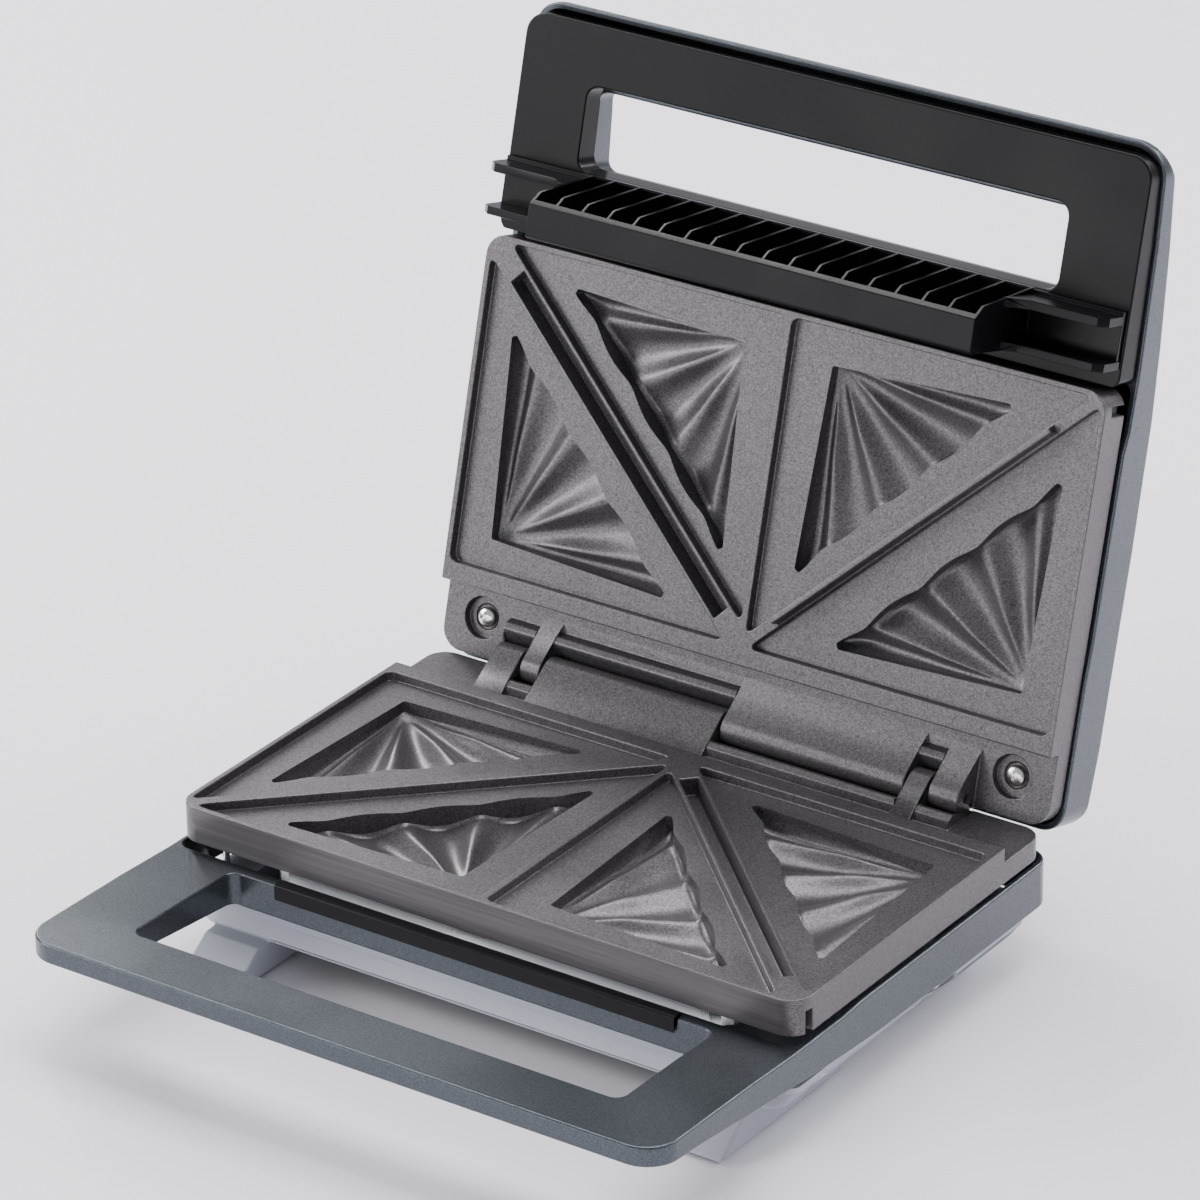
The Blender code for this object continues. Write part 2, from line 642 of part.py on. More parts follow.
def finger_guard():
    """Ribbed black guard under the handle, which drops into the lower hand opening when closed."""
    tray = edge_profile([
        (154.5, 5.7), (154.5, -30.5), (156.0, -32.0), (166.7, -32.0), (170.5, -27.0), (174.2, 3.7), (174.2, 5.7),
    ])
    body = bar("finger_guard", tray, -TRAY_HALF_X, TRAY_HALF_X)
    walls = [-TRAY_HALF_X + RIB_THICK / 2.0]
    walls += [RIB_FROM_X + k * RIB_PITCH for k in range(RIB_COUNT)]
    walls += [TRAY_HALF_X - RIB_THICK / 2.0]
    bays = [
        block("bay", (a + RIB_THICK / 2.0, b - RIB_THICK / 2.0), (156.7 * MM, 0.19), (-30.0 * MM, 3.7 * MM))
        for a, b in zip(walls, walls[1:])
    ]
    cut(body, joined("bays", bays))
    add(body, block("flange", (-124.0 * MM, 124.0 * MM), (155.0 * MM, 173.8 * MM), (3.6 * MM, 5.65 * MM)))
    for side in (-1.0, 1.0):
        upper = [(88.0, 5.2), (88.0, -14.0), (96.0, -8.0), (121.0, -8.0), (124.0, -5.0), (124.0, 5.2)]
        lower = [(88.0, 5.2), (88.0, -13.0), (93.0, -8.0), (121.5, -8.0), (124.5, -5.0), (124.5, 5.2)]
        for shape, v0, v1 in ((upper, 169.2, 172.4), (lower, 154.2, 157.1)):
            loops = [[place(side * x * MM, v * MM, w * MM) for x, w in shape] for v in (v0, v1)]
            add(body, loft("tab", loops))
    return body


# ---------------------------------------------------------------- bottom cover

def bottom_cover():
    """Light grey cover with the four feet and the posts under the plate."""
    outer = [
        (box_outline(114.0 * MM, 4.0 * MM, 144.0 * MM, 8.0 * MM, 8.0 * MM), COVER_TOP_W),
        (box_outline(110.0 * MM, 9.0 * MM, 139.0 * MM, 8.0 * MM, 8.0 * MM), COVER_LOW_W),
    ]
    body = loft("bottom_cover", [[place(x, v, w) for x, v in outline] for outline, w in outer])
    for side in (-1.0, 1.0):
        across = sorted((side * BACK_HAUNCH_X[0], side * BACK_HAUNCH_X[1]))
        add(body, block("haunch", across, BACK_HAUNCH_V, (COVER_LOW_W + 0.2 * MM, COVER_TOP_W - 1.0 * MM)))
    inner = [
        (box_outline(111.8 * MM, 6.2 * MM, 141.8 * MM, 6.0 * MM, 6.0 * MM), COVER_TOP_W + 5.0 * MM),
        (box_outline(107.8 * MM, 11.2 * MM, 136.8 * MM, 6.0 * MM, 6.0 * MM), COVER_LOW_W + 2.2 * MM),
    ]
    cut(body, loft("inside", [[place(x, v, w) for x, v in outline] for outline, w in inner]))
    rim = slab("rim", box_outline(123.6 * MM, -4.2 * MM, 147.0 * MM, 6.0 * MM, 4.0 * MM),
               COVER_TOP_W - 2.2 * MM, COVER_TOP_W)
    cut(rim, slab("rim_hole", box_outline(
        110.5 * MM, 7.5 * MM, 140.5 * MM, 5.0 * MM, 5.0 * MM), -0.04, 0.0))
    add(body, rim)
    for side in (-1.0, 1.0):
        for span, profile in ((FRONT_FOOT_X, FRONT_FOOT), (BACK_FOOT_X, BACK_FOOT)):
            across = sorted((side * span[0], side * span[1]))
            add(body, bar("foot", edge_profile(profile), across[0], across[1]))
        for v in PAD_V:
            cut(body, post("pad_seat", side * PAD_X, v, PAD_R + GAP, -0.06, FOOT_LOW_W + PAD_SEAT_DEEP))
        for v in COVER_SCREW_V:
            cut(body, post("screw_way", side * COVER_SCREW_X, v, 2.2 * MM, -0.05, -0.02))
        for v in COVER_COLUMN_V:
            add(body, post("column", side * COVER_COLUMN_X, v, 5.0 * MM, -40.6 * MM, COVER_COLUMN_TOP_W))
    return body


def foot_pad(name, x, v):
    return turned(name, x, v, [
        (PAD_R - 0.6 * MM, PAD_LOW_W), (PAD_R, PAD_LOW_W + 0.5 * MM), (PAD_R, FOOT_LOW_W + PAD_SEAT_DEEP - GAP),
    ])


# ---------------------------------------------------------------- screws, pins and inner pieces

def plate_screw(name, x, v, top_w, length):
    """Round-headed screw with a cross slot, pointing down."""
    body = turned(name, x, v, [
        (SCREW_SHANK_R * 0.5, top_w - length), (SCREW_SHANK_R, top_w - length + 1.5 * MM),
        (SCREW_SHANK_R, top_w - SCREW_HEAD_H), (SCREW_HEAD_R, top_w - SCREW_HEAD_H),
        (SCREW_HEAD_R, top_w - SCREW_HEAD_H * 0.6), (SCREW_HEAD_R * 0.6, top_w),
    ])
    slot = block("slot", (x - 1.9 * MM, x + 1.9 * MM), (v - 0.35 * MM, v + 0.35 * MM),
                 (top_w - 1.1 * MM, top_w + 2.0 * MM))
    add(slot, block("slot", (x - 0.35 * MM, x + 0.35 * MM), (v - 1.9 * MM, v + 1.9 * MM),
                    (top_w - 1.1 * MM, top_w + 2.0 * MM)))
    cut(body, slot)
    return body


def cover_screw(name, x, v):
    """Screw that holds the bottom cover, head down."""
    head_w = COVER_TOP_W - 2.2 * MM - GAP
    return turned(name, x, v, [
        (2.4 * MM, head_w - 1.8 * MM), (3.4 * MM, head_w - 1.1 * MM), (3.4 * MM, head_w),
        (1.25 * MM, head_w), (1.25 * MM, -22.5 * MM), (0.5 * MM, -21.6 * MM),
    ])


def rounded_path(points, radius, w, steps=5):
    """A path in x and v at one height, with its inner corners rounded."""
    path = [place(points[0][0], points[0][1], w)]
    for i in range(1, len(points) - 1):
        here = Vector(points[i])
        a = here + (Vector(points[i - 1]) - here).normalized() * radius
        b = here + (Vector(points[i + 1]) - here).normalized() * radius
        for k in range(steps + 1):
            t = k / steps
            bend = a * (1 - t) ** 2 + here * 2 * t * (1 - t) + b * t ** 2
            path.append(place(bend.x, bend.y, w))
    path.append(place(points[-1][0], points[-1][1], w))
    return path


def heating_element(name, w):
    """Sheathed tube bent in a loop behind the four pockets."""
    points = [(-58.0 * MM, 31.0 * MM), (-84.0 * MM, 62.0 * MM), (-84.0 * MM, 120.0 * MM),
              (84.0 * MM, 120.0 * MM), (84.0 * MM, 62.0 * MM), (58.0 * MM, 31.0 * MM)]
    return tube(name, rounded_path(points, 16.0 * MM, w), 3.2 * MM, 8)


def reflector(name, low_w, high_w, sheet, hole_radius=0.0):
    """Shallow pressed tray that throws the heat back at the plate."""
    outer = slab(name, box_outline(93.0 * MM, 38.0 * MM, 138.0 * MM, 8.0 * MM, 8.0 * MM), low_w, high_w)
    shift = sheet if high_w > low_w else -sheet
    cut(outer, slab("tray", box_outline(
        92.2 * MM, 38.8 * MM, 137.2 * MM, 7.2 * MM, 7.2 * MM), low_w + shift, high_w + shift * 5))
    cut(outer, block("back_way", (-0.1, 0.1), (0.03, 50.0 * MM), (low_w + shift, high_w + shift * 5)))
    if hole_radius:
        cut(outer, post("middle_way", 0.0, 84.0 * MM, hole_radius, low_w - shift * 3, low_w + shift * 3))
    return outer


def gland():
    """Bushing where the mains lead would enter, at the back of the base."""
    body = across_back("cord_gland", [(8.4, 10.2), (8.4, 7.3), (6.0, 7.3), (6.0, 4.5), (7.6, 4.5), (7.6, 1.5)])
    cut(body, across_back("way", [(3.3, -5.0), (3.3, 20.0)]))
    return body


def terminal_block():
    body = block("terminal_block", (-66.0 * MM, -38.0 * MM), (12.6 * MM, 24.0 * MM), (-39.2 * MM, -29.0 * MM))
    for k in range(3):
        x = (-61.0 + 9.0 * k) * MM
        cut(body, post("screw_well", x, 18.3 * MM, 2.0 * MM, -33.0 * MM, -20.0 * MM))
    return body


def wire(name, points, radius=1.25 * MM):
    """A round wire through the given x, v, w points with eased bends."""
    path = []
    for i, point in enumerate(points):
        here = Vector(point)
        if i in (0, len(points) - 1):
            path.append(place(here.x, here.y, here.z))
            continue
        before = here.lerp(Vector(points[i - 1]), 0.25)
        after = here.lerp(Vector(points[i + 1]), 0.25)
        for t in (0.0, 0.33, 0.67, 1.0):
            bend = before * (1 - t) ** 2 + here * 2 * t * (1 - t) + after * t ** 2
            path.append(place(bend.x, bend.y, bend.z))
    return tube(name, path, radius, 8)


def thermostat():
    return turned("thermostat", 0.0, 84.0 * MM, [
        (4.8 * MM, 8.4 * MM), (4.8 * MM, 15.2 * MM), (8.6 * MM, 15.2 * MM), (8.6 * MM, 22.0 * MM),
        (6.2 * MM, 22.6 * MM), (6.2 * MM, 25.8 * MM),
    ])


def lamp_lens(name, x):
    return turned(name, x, LAMP_V, [
        (4.8 * MM, 29.0 * MM), (4.8 * MM, 30.4 * MM), (3.25 * MM, 30.4 * MM), (3.25 * MM, 33.9 * MM),
        (2.4 * MM, 34.5 * MM), (0.9 * MM, 34.8 * MM),
    ])


# ---------------------------------------------------------------- assembly

def frame_empty(name, open_deg):
    empty = bpy.data.objects.new(name, None)
    empty.empty_display_size = 0.03
    empty.location = (0.0, HINGE_Y, HINGE_Z)
    empty.rotation_euler = (math.radians(-open_deg), 0.0, 0.0)
    bpy.context.scene.collection.objects.link(empty)
    return empty


def settle(obj, parent, material, smooth_deg=35.0):
    obj.parent = parent
    obj.data.materials.clear()
    obj.data.materials.append(material)
    obj.data.shade_smooth()
    obj.data.set_sharp_from_angle(angle=math.radians(smooth_deg))


def flipped(obj):
    """Turns the casting half round its front-to-back line, for the plate above."""
    obj.data.transform(Matrix.Rotation(math.pi, 4, "Y"))
    return obj


def build():
    clear_scene()
    base = frame_empty("base_frame", 0.0)
    lid = frame_empty("lid_axis", OPEN_DEG)

    settle(lower_housing(), base, finish("shell_grey_lower", SHELL_GREY, 0.6, 0.38))
    settle(bottom_cover(), base, finish("cover_grey", FOOT_GREY, 0.0, 0.5))
    settle(handle_edge_strip(), base, finish("strip_black", BLACK, 0.0, 0.4))
    settle(plate_casting("lower_plate", False), base, finish("plate_lower", PLATE_GREY, 0.3, 0.45))
    settle(heating_element("lower_heating_element", -18.4 * MM), base, finish("element_lower", STEEL, 0.9, 0.4))
    settle(reflector("lower_reflector", -23.6 * MM, -17.0 * MM, 0.7 * MM), base,
           finish("reflector_lower", ALUMINIUM, 1.0, 0.3))
    settle(terminal_block(), base, finish("block_cream", CREAM, 0.0, 0.5))
    settle(gland(), base, finish("gland_black", RUBBER, 0.0, 0.6))
    settle(turned("thermal_fuse", 40.0 * MM, 84.0 * MM, [
        (4.0 * MM, -29.0 * MM), (4.0 * MM, -25.2 * MM), (2.6 * MM, -24.0 * MM)]), base,
        finish("fuse_steel", STEEL, 0.9, 0.35))
    settle(wire("live_wire", [
        (-45.0 * MM, 26.0 * MM, -31.0 * MM), (-20.0 * MM, 40.0 * MM, -31.0 * MM), (20.0 * MM, 84.0 * MM, -31.0 * MM),
        (50.0 * MM, 60.0 * MM, -31.0 * MM), (58.0 * MM, 27.0 * MM, -24.5 * MM)]), base,
        finish("wire_live", COPPER_WIRE, 0.0, 0.5))
    settle(wire("neutral_wire", [
        (-60.0 * MM, 26.0 * MM, -31.0 * MM), (-72.0 * MM, 42.0 * MM, -31.0 * MM), (-66.0 * MM, 60.0 * MM, -31.0 * MM),
        (-54.0 * MM, 50.0 * MM, -31.0 * MM), (-58.0 * MM, 27.0 * MM, -24.5 * MM)]), base,
        finish("wire_neutral", BLUE_WIRE, 0.0, 0.5))
    for side, name in ((-1.0, "left"), (1.0, "right")):
        for v, end in zip(PAD_V, ("back", "front")):
            settle(foot_pad(f"foot_pad_{end}_{name}", side * PAD_X, v), base,
                   finish(f"pad_{end}_{name}", RUBBER, 0.0, 0.8))
        for v, end in zip(COVER_SCREW_V, ("back", "front")):
            settle(cover_screw(f"cover_screw_{end}_{name}", side * COVER_SCREW_X, v), base,
                   finish(f"cover_screw_{end}_{name}", STEEL, 1.0, 0.3))
        x0, x1 = sorted((side * PIN_FROM_X, side * PIN_TO_X))
        settle(rod(f"hinge_pin_{name}", 0.0, 0.0, PIN_R, x0, x1), base,
               finish(f"pin_{name}", STEEL, 1.0, 0.3))

    settle(lid_shell(), lid, finish("shell_grey_upper", SHELL_GREY, 0.6, 0.38))
    settle(lid_inner_frame(), lid, finish("frame_black", BLACK, 0.0, 0.38))
    settle(finger_guard(), lid, finish("guard_black", BLACK, 0.0, 0.42))
    settle(flipped(plate_casting("upper_plate", True)), lid, finish("plate_upper", PLATE_GREY, 0.3, 0.45))
    settle(heating_element("upper_heating_element", 18.4 * MM), lid, finish("element_upper", STEEL, 0.9, 0.4))
    settle(reflector("upper_reflector", 23.6 * MM, 17.0 * MM, 0.7 * MM, 10.0 * MM), lid,
           finish("reflector_upper", ALUMINIUM, 1.0, 0.3))
    settle(thermostat(), lid, finish("thermostat_steel", STEEL, 0.9, 0.3))
    settle(lamp_lens("lamp_lens_power", -LAMP_X), lid, finish("lens_red", RED, 0.0, 0.1))
    settle(lamp_lens("lamp_lens_ready", LAMP_X), lid, finish("lens_green", GREEN, 0.0, 0.1))
    for side, name in ((-1.0, "left"), (1.0, "right")):
        screw = plate_screw(f"upper_plate_screw_{name}", -side * SCREW_X, SCREW_V,
                            -STEP_W - COUNTERBORE_DEEP + SCREW_HEAD_H + GAP, SCREW_LONG)
        settle(flipped(screw), lid, finish(f"screw_upper_{name}", STEEL, 1.0, 0.25))


build()
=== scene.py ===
"""Two-slice sandwich toaster with shell pockets, standing open on a pale studio floor."""

import json
import logging
import math
from dataclasses import dataclass
from enum import Enum
from typing import Callable, Sequence

import bmesh
import bpy
from mathutils import Matrix, Vector


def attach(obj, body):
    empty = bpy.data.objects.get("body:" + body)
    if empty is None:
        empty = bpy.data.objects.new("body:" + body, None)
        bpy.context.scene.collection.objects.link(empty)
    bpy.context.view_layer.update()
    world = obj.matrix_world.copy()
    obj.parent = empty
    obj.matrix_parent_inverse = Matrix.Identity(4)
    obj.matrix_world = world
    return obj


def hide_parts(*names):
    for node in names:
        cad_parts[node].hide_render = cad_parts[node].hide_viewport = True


MM = 0.001
CRISP_DEG = 40.0
LOG = logging.getLogger("toaster")
Pair = tuple[float, float]
Corner = tuple[float, float, float]
Socket = bpy.types.NodeSocket

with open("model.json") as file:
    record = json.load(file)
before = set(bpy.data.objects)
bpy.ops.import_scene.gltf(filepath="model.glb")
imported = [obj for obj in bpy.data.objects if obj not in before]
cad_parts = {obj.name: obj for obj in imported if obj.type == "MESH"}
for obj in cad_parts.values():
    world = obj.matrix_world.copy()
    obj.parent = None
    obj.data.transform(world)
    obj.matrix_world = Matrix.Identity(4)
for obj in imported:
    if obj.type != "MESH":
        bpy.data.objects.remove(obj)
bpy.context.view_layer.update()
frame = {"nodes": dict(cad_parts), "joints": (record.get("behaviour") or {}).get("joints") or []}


class Half(Enum):
    """The two halves that the hinge joins, named as their bodies."""

    BASE = "base"
    LID = "lid"


class Joining(Enum):
    """How one solid changes another."""

    CUT = "DIFFERENCE"
    ADD = "UNION"
    KEEP = "INTERSECT"


class Side(Enum):
    """Left and right of the toaster as its user sees it."""

    LEFT = -1.0
    RIGHT = 1.0

    def span(self, near: float, far: float) -> Pair:
        """Gives the lowest and highest x of a stretch on this side."""
        low, high = sorted((self.value * near, self.value * far))
        return low, high


# ------------------------------------------------------------------ hinge and solids


@dataclass(frozen=True)
class Hinge:
    """Where the hinge axis is, and how far the lid stands open."""

    middle: Vector
    open_deg: float

    @classmethod
    def from_frame(cls) -> "Hinge":
        """Reads the axis and the range of the one joint."""
        joint = frame["joints"][0]
        return cls(Vector(joint["pos_m"]), max(joint["range_deg"]))

    def matrix(self, half: Half) -> Matrix:
        """Gives the placing of a half, whose own frame starts on the hinge axis.

        Args:
            half: The base, which stands level, or the lid, which is turned open.

        Returns:
            The matrix from the half's frame to the world.
        """
        turn = -self.open_deg if half is Half.LID else 0.0
        return Matrix.Translation(self.middle) @ Matrix.Rotation(math.radians(turn), 4, "X")


class Solid:
    """A closed body under construction: x across, y back from the hinge axis, z up from the seam."""

    def __init__(self, name: str) -> None:
        """Starts an empty body."""
        self.name = name
        self.bm = bmesh.new()

    # -- starting shapes

    @classmethod
    def slab(
        cls, name: str, corners: Sequence[Corner], low: float, high: float, steps: int = 8,
    ) -> "Solid":
        """Thickens an outline seen from above.

        Args:
            name: Name of the body.
            corners: x, distance forward of the axis and corner radius of each corner, in mm.
            low: Height of the underside in mm.
            high: Height of the top in mm.
            steps: Segments in each rounded corner.

        Returns:
            The body.
        """
        solid = cls(name)
        solid._outline([(Vector((x, -v, low)) * MM, r * MM) for x, v, r in corners], steps)
        solid._thicken(Vector((0.0, 0.0, high - low)) * MM)
        return solid

    @classmethod
    def bar(
        cls, name: str, profile: Sequence[Corner], left: float, right: float, steps: int = 8,
    ) -> "Solid":
        """Stretches a side view across.

        Args:
            name: Name of the body.
            profile: Distance forward, height and corner radius of each corner, in mm.
            left: Lowest x in mm.
            right: Highest x in mm.
            steps: Segments in each rounded corner.

        Returns:
            The body.
        """
        solid = cls(name)
        solid._outline([(Vector((left, -v, w)) * MM, r * MM) for v, w, r in profile], steps)
        solid._thicken(Vector((right - left, 0.0, 0.0)) * MM)
        return solid

    @classmethod
    def block(cls, name: str, x: Pair, v: Pair, w: Pair) -> "Solid":
        """A straight-edged block between two values of x, v and w, in mm."""
        corners = ((x[0], v[0], 0.0), (x[1], v[0], 0.0), (x[1], v[1], 0.0), (x[0], v[1], 0.0))
        return cls.slab(name, corners, w[0], w[1])

    @classmethod
    def plate(cls, name: str, half_x: float, v: Pair, radii: Pair, w: Pair, steps: int = 8) -> "Solid":
        """Thickens a rectangle that is centred across.

        Args:
            name: Name of the body.
            half_x: Half its width in mm.
            v: Back and front edge in mm.
            radii: Radius of the back corners and of the front corners in mm.
            w: Lowest and highest height in mm.
            steps: Segments in each rounded corner.

        Returns:
            The body.
        """
        back, front = zip(v, radii)
        corners = ((-half_x, *back), (half_x, *back), (half_x, *front), (-half_x, *front))
        return cls.slab(name, corners, w[0], w[1], steps)

    @classmethod
    def drill(cls, x: float, v: float, radius: float, w: Pair) -> "Solid":
        """An upright round cutter between two heights, in mm."""
        return cls.turned("drill", x, v, ((0.0, w[0]), (radius, w[0]), (radius, w[1]), (0.0, w[1])))

    @classmethod
    def rod(cls, name: str, radius: float, left: float, right: float, segments: int = 64) -> "Solid":
        """A round rod along the hinge axis, in mm.

        Args:
            name: Name of the body.
            radius: Radius in mm.
            left: Lowest x in mm.
            right: Highest x in mm.
            segments: Steps in the full turn.

        Returns:
            The body.
        """
        solid = cls(name)
        middle = Vector(((left + right) / 2.0, 0.0, 0.0)) * MM
        turn = Matrix.Translation(middle) @ Matrix.Rotation(math.pi / 2, 4, "Y")
        bmesh.ops.create_cone(
            solid.bm, cap_ends=True, segments=segments, radius1=radius * MM, radius2=radius * MM,
            depth=(right - left) * MM, matrix=turn,
        )
        return solid

    @classmethod
    def turned(cls, name: str, x: float, v: float, profile: Sequence[Pair], segments: int = 40) -> "Solid":
        """Spins a profile round an upright axis.

        Args:
            name: Name of the body.
            x: Place of the axis across, in mm.
            v: Place of the axis forward, in mm.
            profile: Radius and height pairs in mm, from the axis back to the axis.
            segments: Steps in the full turn.

        Returns:
            The body.
        """
        solid = cls(name)
        centre = Vector((x, -v, 0.0)) * MM
        points = [solid.bm.verts.new(centre + Vector((r, 0.0, w)) * MM) for r, w in profile]
        edges = [solid.bm.edges.new(pair) for pair in zip(points, points[1:])]
        bmesh.ops.spin(
            solid.bm, geom=points + edges, cent=centre, axis=(0.0, 0.0, 1.0), angle=math.tau,
            steps=segments, use_merge=True,
        )
        bmesh.ops.remove_doubles(solid.bm, verts=solid.bm.verts, dist=1e-7)
        bmesh.ops.recalc_face_normals(solid.bm, faces=solid.bm.faces)
        return solid

    def _outline(self, corners: Sequence[tuple[Vector, float]], steps: int) -> None:
        """Draws one face and rounds its corners.

        Args:
            corners: Each corner point with its radius.
            steps: Segments in each rounded corner.
        """
        points = [self.bm.verts.new(point) for point, _ in corners]
        self.bm.faces.new(points)
        places = [point for point, _ in corners]
        for i, (point, radius) in enumerate(corners):
            if radius <= 0.0:
                continue
            last = (places[i - 1] - point).normalized()
            after = (places[(i + 1) % len(places)] - point).normalized()
            tangent = radius / math.tan(last.angle(after) / 2.0)
            bmesh.ops.bevel(
                self.bm, geom=[points[i]], offset=tangent, segments=steps, profile=0.5,
                affect="VERTICES", material=-1, clamp_overlap=False,
            )

    def _thicken(self, travel: Vector) -> None:
        """Pulls the one face into a closed prism.

        Args:
            travel: How far and which way the face is pulled, in metres.
        """
        made = bmesh.ops.extrude_face_region(self.bm, geom=self.bm.faces[:])["geom"]
        moved = [item for item in made if isinstance(item, bmesh.types.BMVert)]
        bmesh.ops.translate(self.bm, verts=moved, vec=travel)
        bmesh.ops.recalc_face_normals(self.bm, faces=self.bm.faces)

    # -- changes

    def taper(self, level: float, grow: float, centre: Pair) -> "Solid":
        """Leans the walls by moving the points at one height away from a centre.

        Args:
            level: Height of the moved points in mm.
            grow: Outward travel in x and in y, in mm.
            centre: x and forward place of the centre in mm.

        Returns:
            This body.
        """
        for vert in self.bm.verts:
            if abs(vert.co.z - level * MM) < 1e-6:
                vert.co.x += math.copysign(grow * MM, vert.co.x - centre[0] * MM)
                vert.co.y += math.copysign(grow * MM, vert.co.y + centre[1] * MM)
        return self

    def mirrored(self) -> "Solid":
        """Swaps left and right.

        Returns:
            This body.
        """
        bmesh.ops.scale(self.bm, vec=(-1.0, 1.0, 1.0), verts=self.bm.verts)
        bmesh.ops.reverse_faces(self.bm, faces=self.bm.faces)
        return self

    def join(self, *others: "Solid") -> "Solid":
        """Takes in other bodies that don't touch this one, to use them in one step.

        Args:
            *others: The bodies, which are used up.

        Returns:
            This body.
        """
        for other in others:
            mesh = bpy.data.meshes.new("part")
            other.bm.to_mesh(mesh)
            self.bm.from_mesh(mesh)
            bpy.data.meshes.remove(mesh)
            other.bm.free()
        return self

    def combine(self, how: Joining, *others: "Solid") -> "Solid":
        """Cuts, adds or keeps with other bodies, one after another.

        Args:
            how: What the others do to this body.
            *others: The bodies, which are used up.

        Returns:
            This body.
        """
        for other in others:
            mine, tool = self._loose(), other._loose()
            step = mine.modifiers.new("step", "BOOLEAN")
            step.operation, step.solver, step.object = how.value, "EXACT", tool
            graph = bpy.context.evaluated_depsgraph_get()
            result = bpy.data.meshes.new_from_object(mine.evaluated_get(graph))
            self.bm = bmesh.new()
            self.bm.from_mesh(result)
            for obj in (mine, tool):
                mesh = obj.data
                bpy.data.objects.remove(obj, do_unlink=True)
                bpy.data.meshes.remove(mesh)
            bpy.data.meshes.remove(result)
        return self

    def cut(self, *others: "Solid") -> "Solid":
        """Takes other bodies away."""
        return self.combine(Joining.CUT, *others)

    def add(self, *others: "Solid") -> "Solid":
        """Melts other bodies in."""
        return self.combine(Joining.ADD, *others)

    def keep(self, *others: "Solid") -> "Solid":
        """Leaves only what is shared with the others."""
        return self.combine(Joining.KEEP, *others)

    def _loose(self) -> bpy.types.Object:
        """Hands the body over as a loose object and lets the bmesh go.

        Returns:
            The loose object.
        """
        mesh = bpy.data.meshes.new("loose")
        self.bm.to_mesh(mesh)
        self.bm.free()
        obj = bpy.data.objects.new("loose", mesh)
        bpy.context.scene.collection.objects.link(obj)
        return obj

    def clean(self, flat_deg: float = 0.4) -> "Solid":
        """Merges doubled points and the seams inside flat faces.

        Args:
            flat_deg: Faces that turn less than this are taken as one flat face.

        Returns:
            This body.
        """
        bmesh.ops.remove_doubles(self.bm, verts=self.bm.verts, dist=4e-6)
        bmesh.ops.dissolve_degenerate(self.bm, edges=self.bm.edges, dist=2e-6)
        bmesh.ops.dissolve_limit(
            self.bm, angle_limit=math.radians(flat_deg), verts=self.bm.verts, edges=self.bm.edges,
        )
        return self

    def ease(
        self, radius: float, segments: int = 3, sharper_deg: float = 42.0,
        chosen: Callable[[Vector], bool] | None = None,
    ) -> "Solid":
        """Rounds sharp edges over.

        Args:
            radius: Width of the rounding in mm.
            segments: Steps across the rounding.
            sharper_deg: Only edges that turn more than this are rounded.
            chosen: Test on the middle of an edge, in the body's frame in mm as x, forward and height.

        Returns:
            This body.
        """
        edges = []
        for edge in self.bm.edges:
            if len(edge.link_faces) != 2 or edge.calc_face_angle(0.0) < math.radians(sharper_deg):
                continue
            middle = (edge.verts[0].co + edge.verts[1].co) / 2.0 / MM
            if chosen is None or chosen(Vector((middle.x, -middle.y, middle.z))):
                edges.append(edge)
        if edges:
            bmesh.ops.bevel(
                self.bm, geom=edges, offset=radius * MM, segments=segments, profile=0.5,
                affect="EDGES", material=-1, clamp_overlap=False, loop_slide=True,
            )
        return self

    # -- handing over

    def finish(
        self, half: Half, hinge: Hinge, finish: "Finish", node: str, turned_over: bool = False,
    ) -> bpy.types.Object:
        """Puts the body in place, dresses it and lets it ride.

        Args:
            half: The half that it moves with.
            hinge: The placing of the halves.
            finish: The finish that covers it.
            node: The frame's node that it stands for.
            turned_over: True for the casting above, which is the one below turned over.

        Returns:
            The finished object.
        """
        if turned_over:
            bmesh.ops.transform(self.bm, matrix=Matrix.Rotation(math.pi, 4, "Y"), verts=self.bm.verts)
        bmesh.ops.transform(self.bm, matrix=hinge.matrix(half), verts=self.bm.verts)
        mesh = bpy.data.meshes.new(self.name)
        self.bm.to_mesh(mesh)
        self.bm.free()
        mesh.materials.append(finish.material())
        mesh.shade_smooth()
        mesh.set_sharp_from_angle(angle=math.radians(CRISP_DEG))
        obj = bpy.data.objects.new(self.name, mesh)
        bpy.context.scene.collection.objects.link(obj)
        weigh = obj.modifiers.new("flat_faces_lead", "WEIGHTED_NORMAL")
        weigh.mode, weigh.weight, weigh.keep_sharp = "FACE_AREA", 50, True
        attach(obj, half.value)
        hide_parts(node)
        LOG.info("%s: %d faces", self.name, len(mesh.polygons))
        return obj


# ------------------------------------------------------------------ finishes


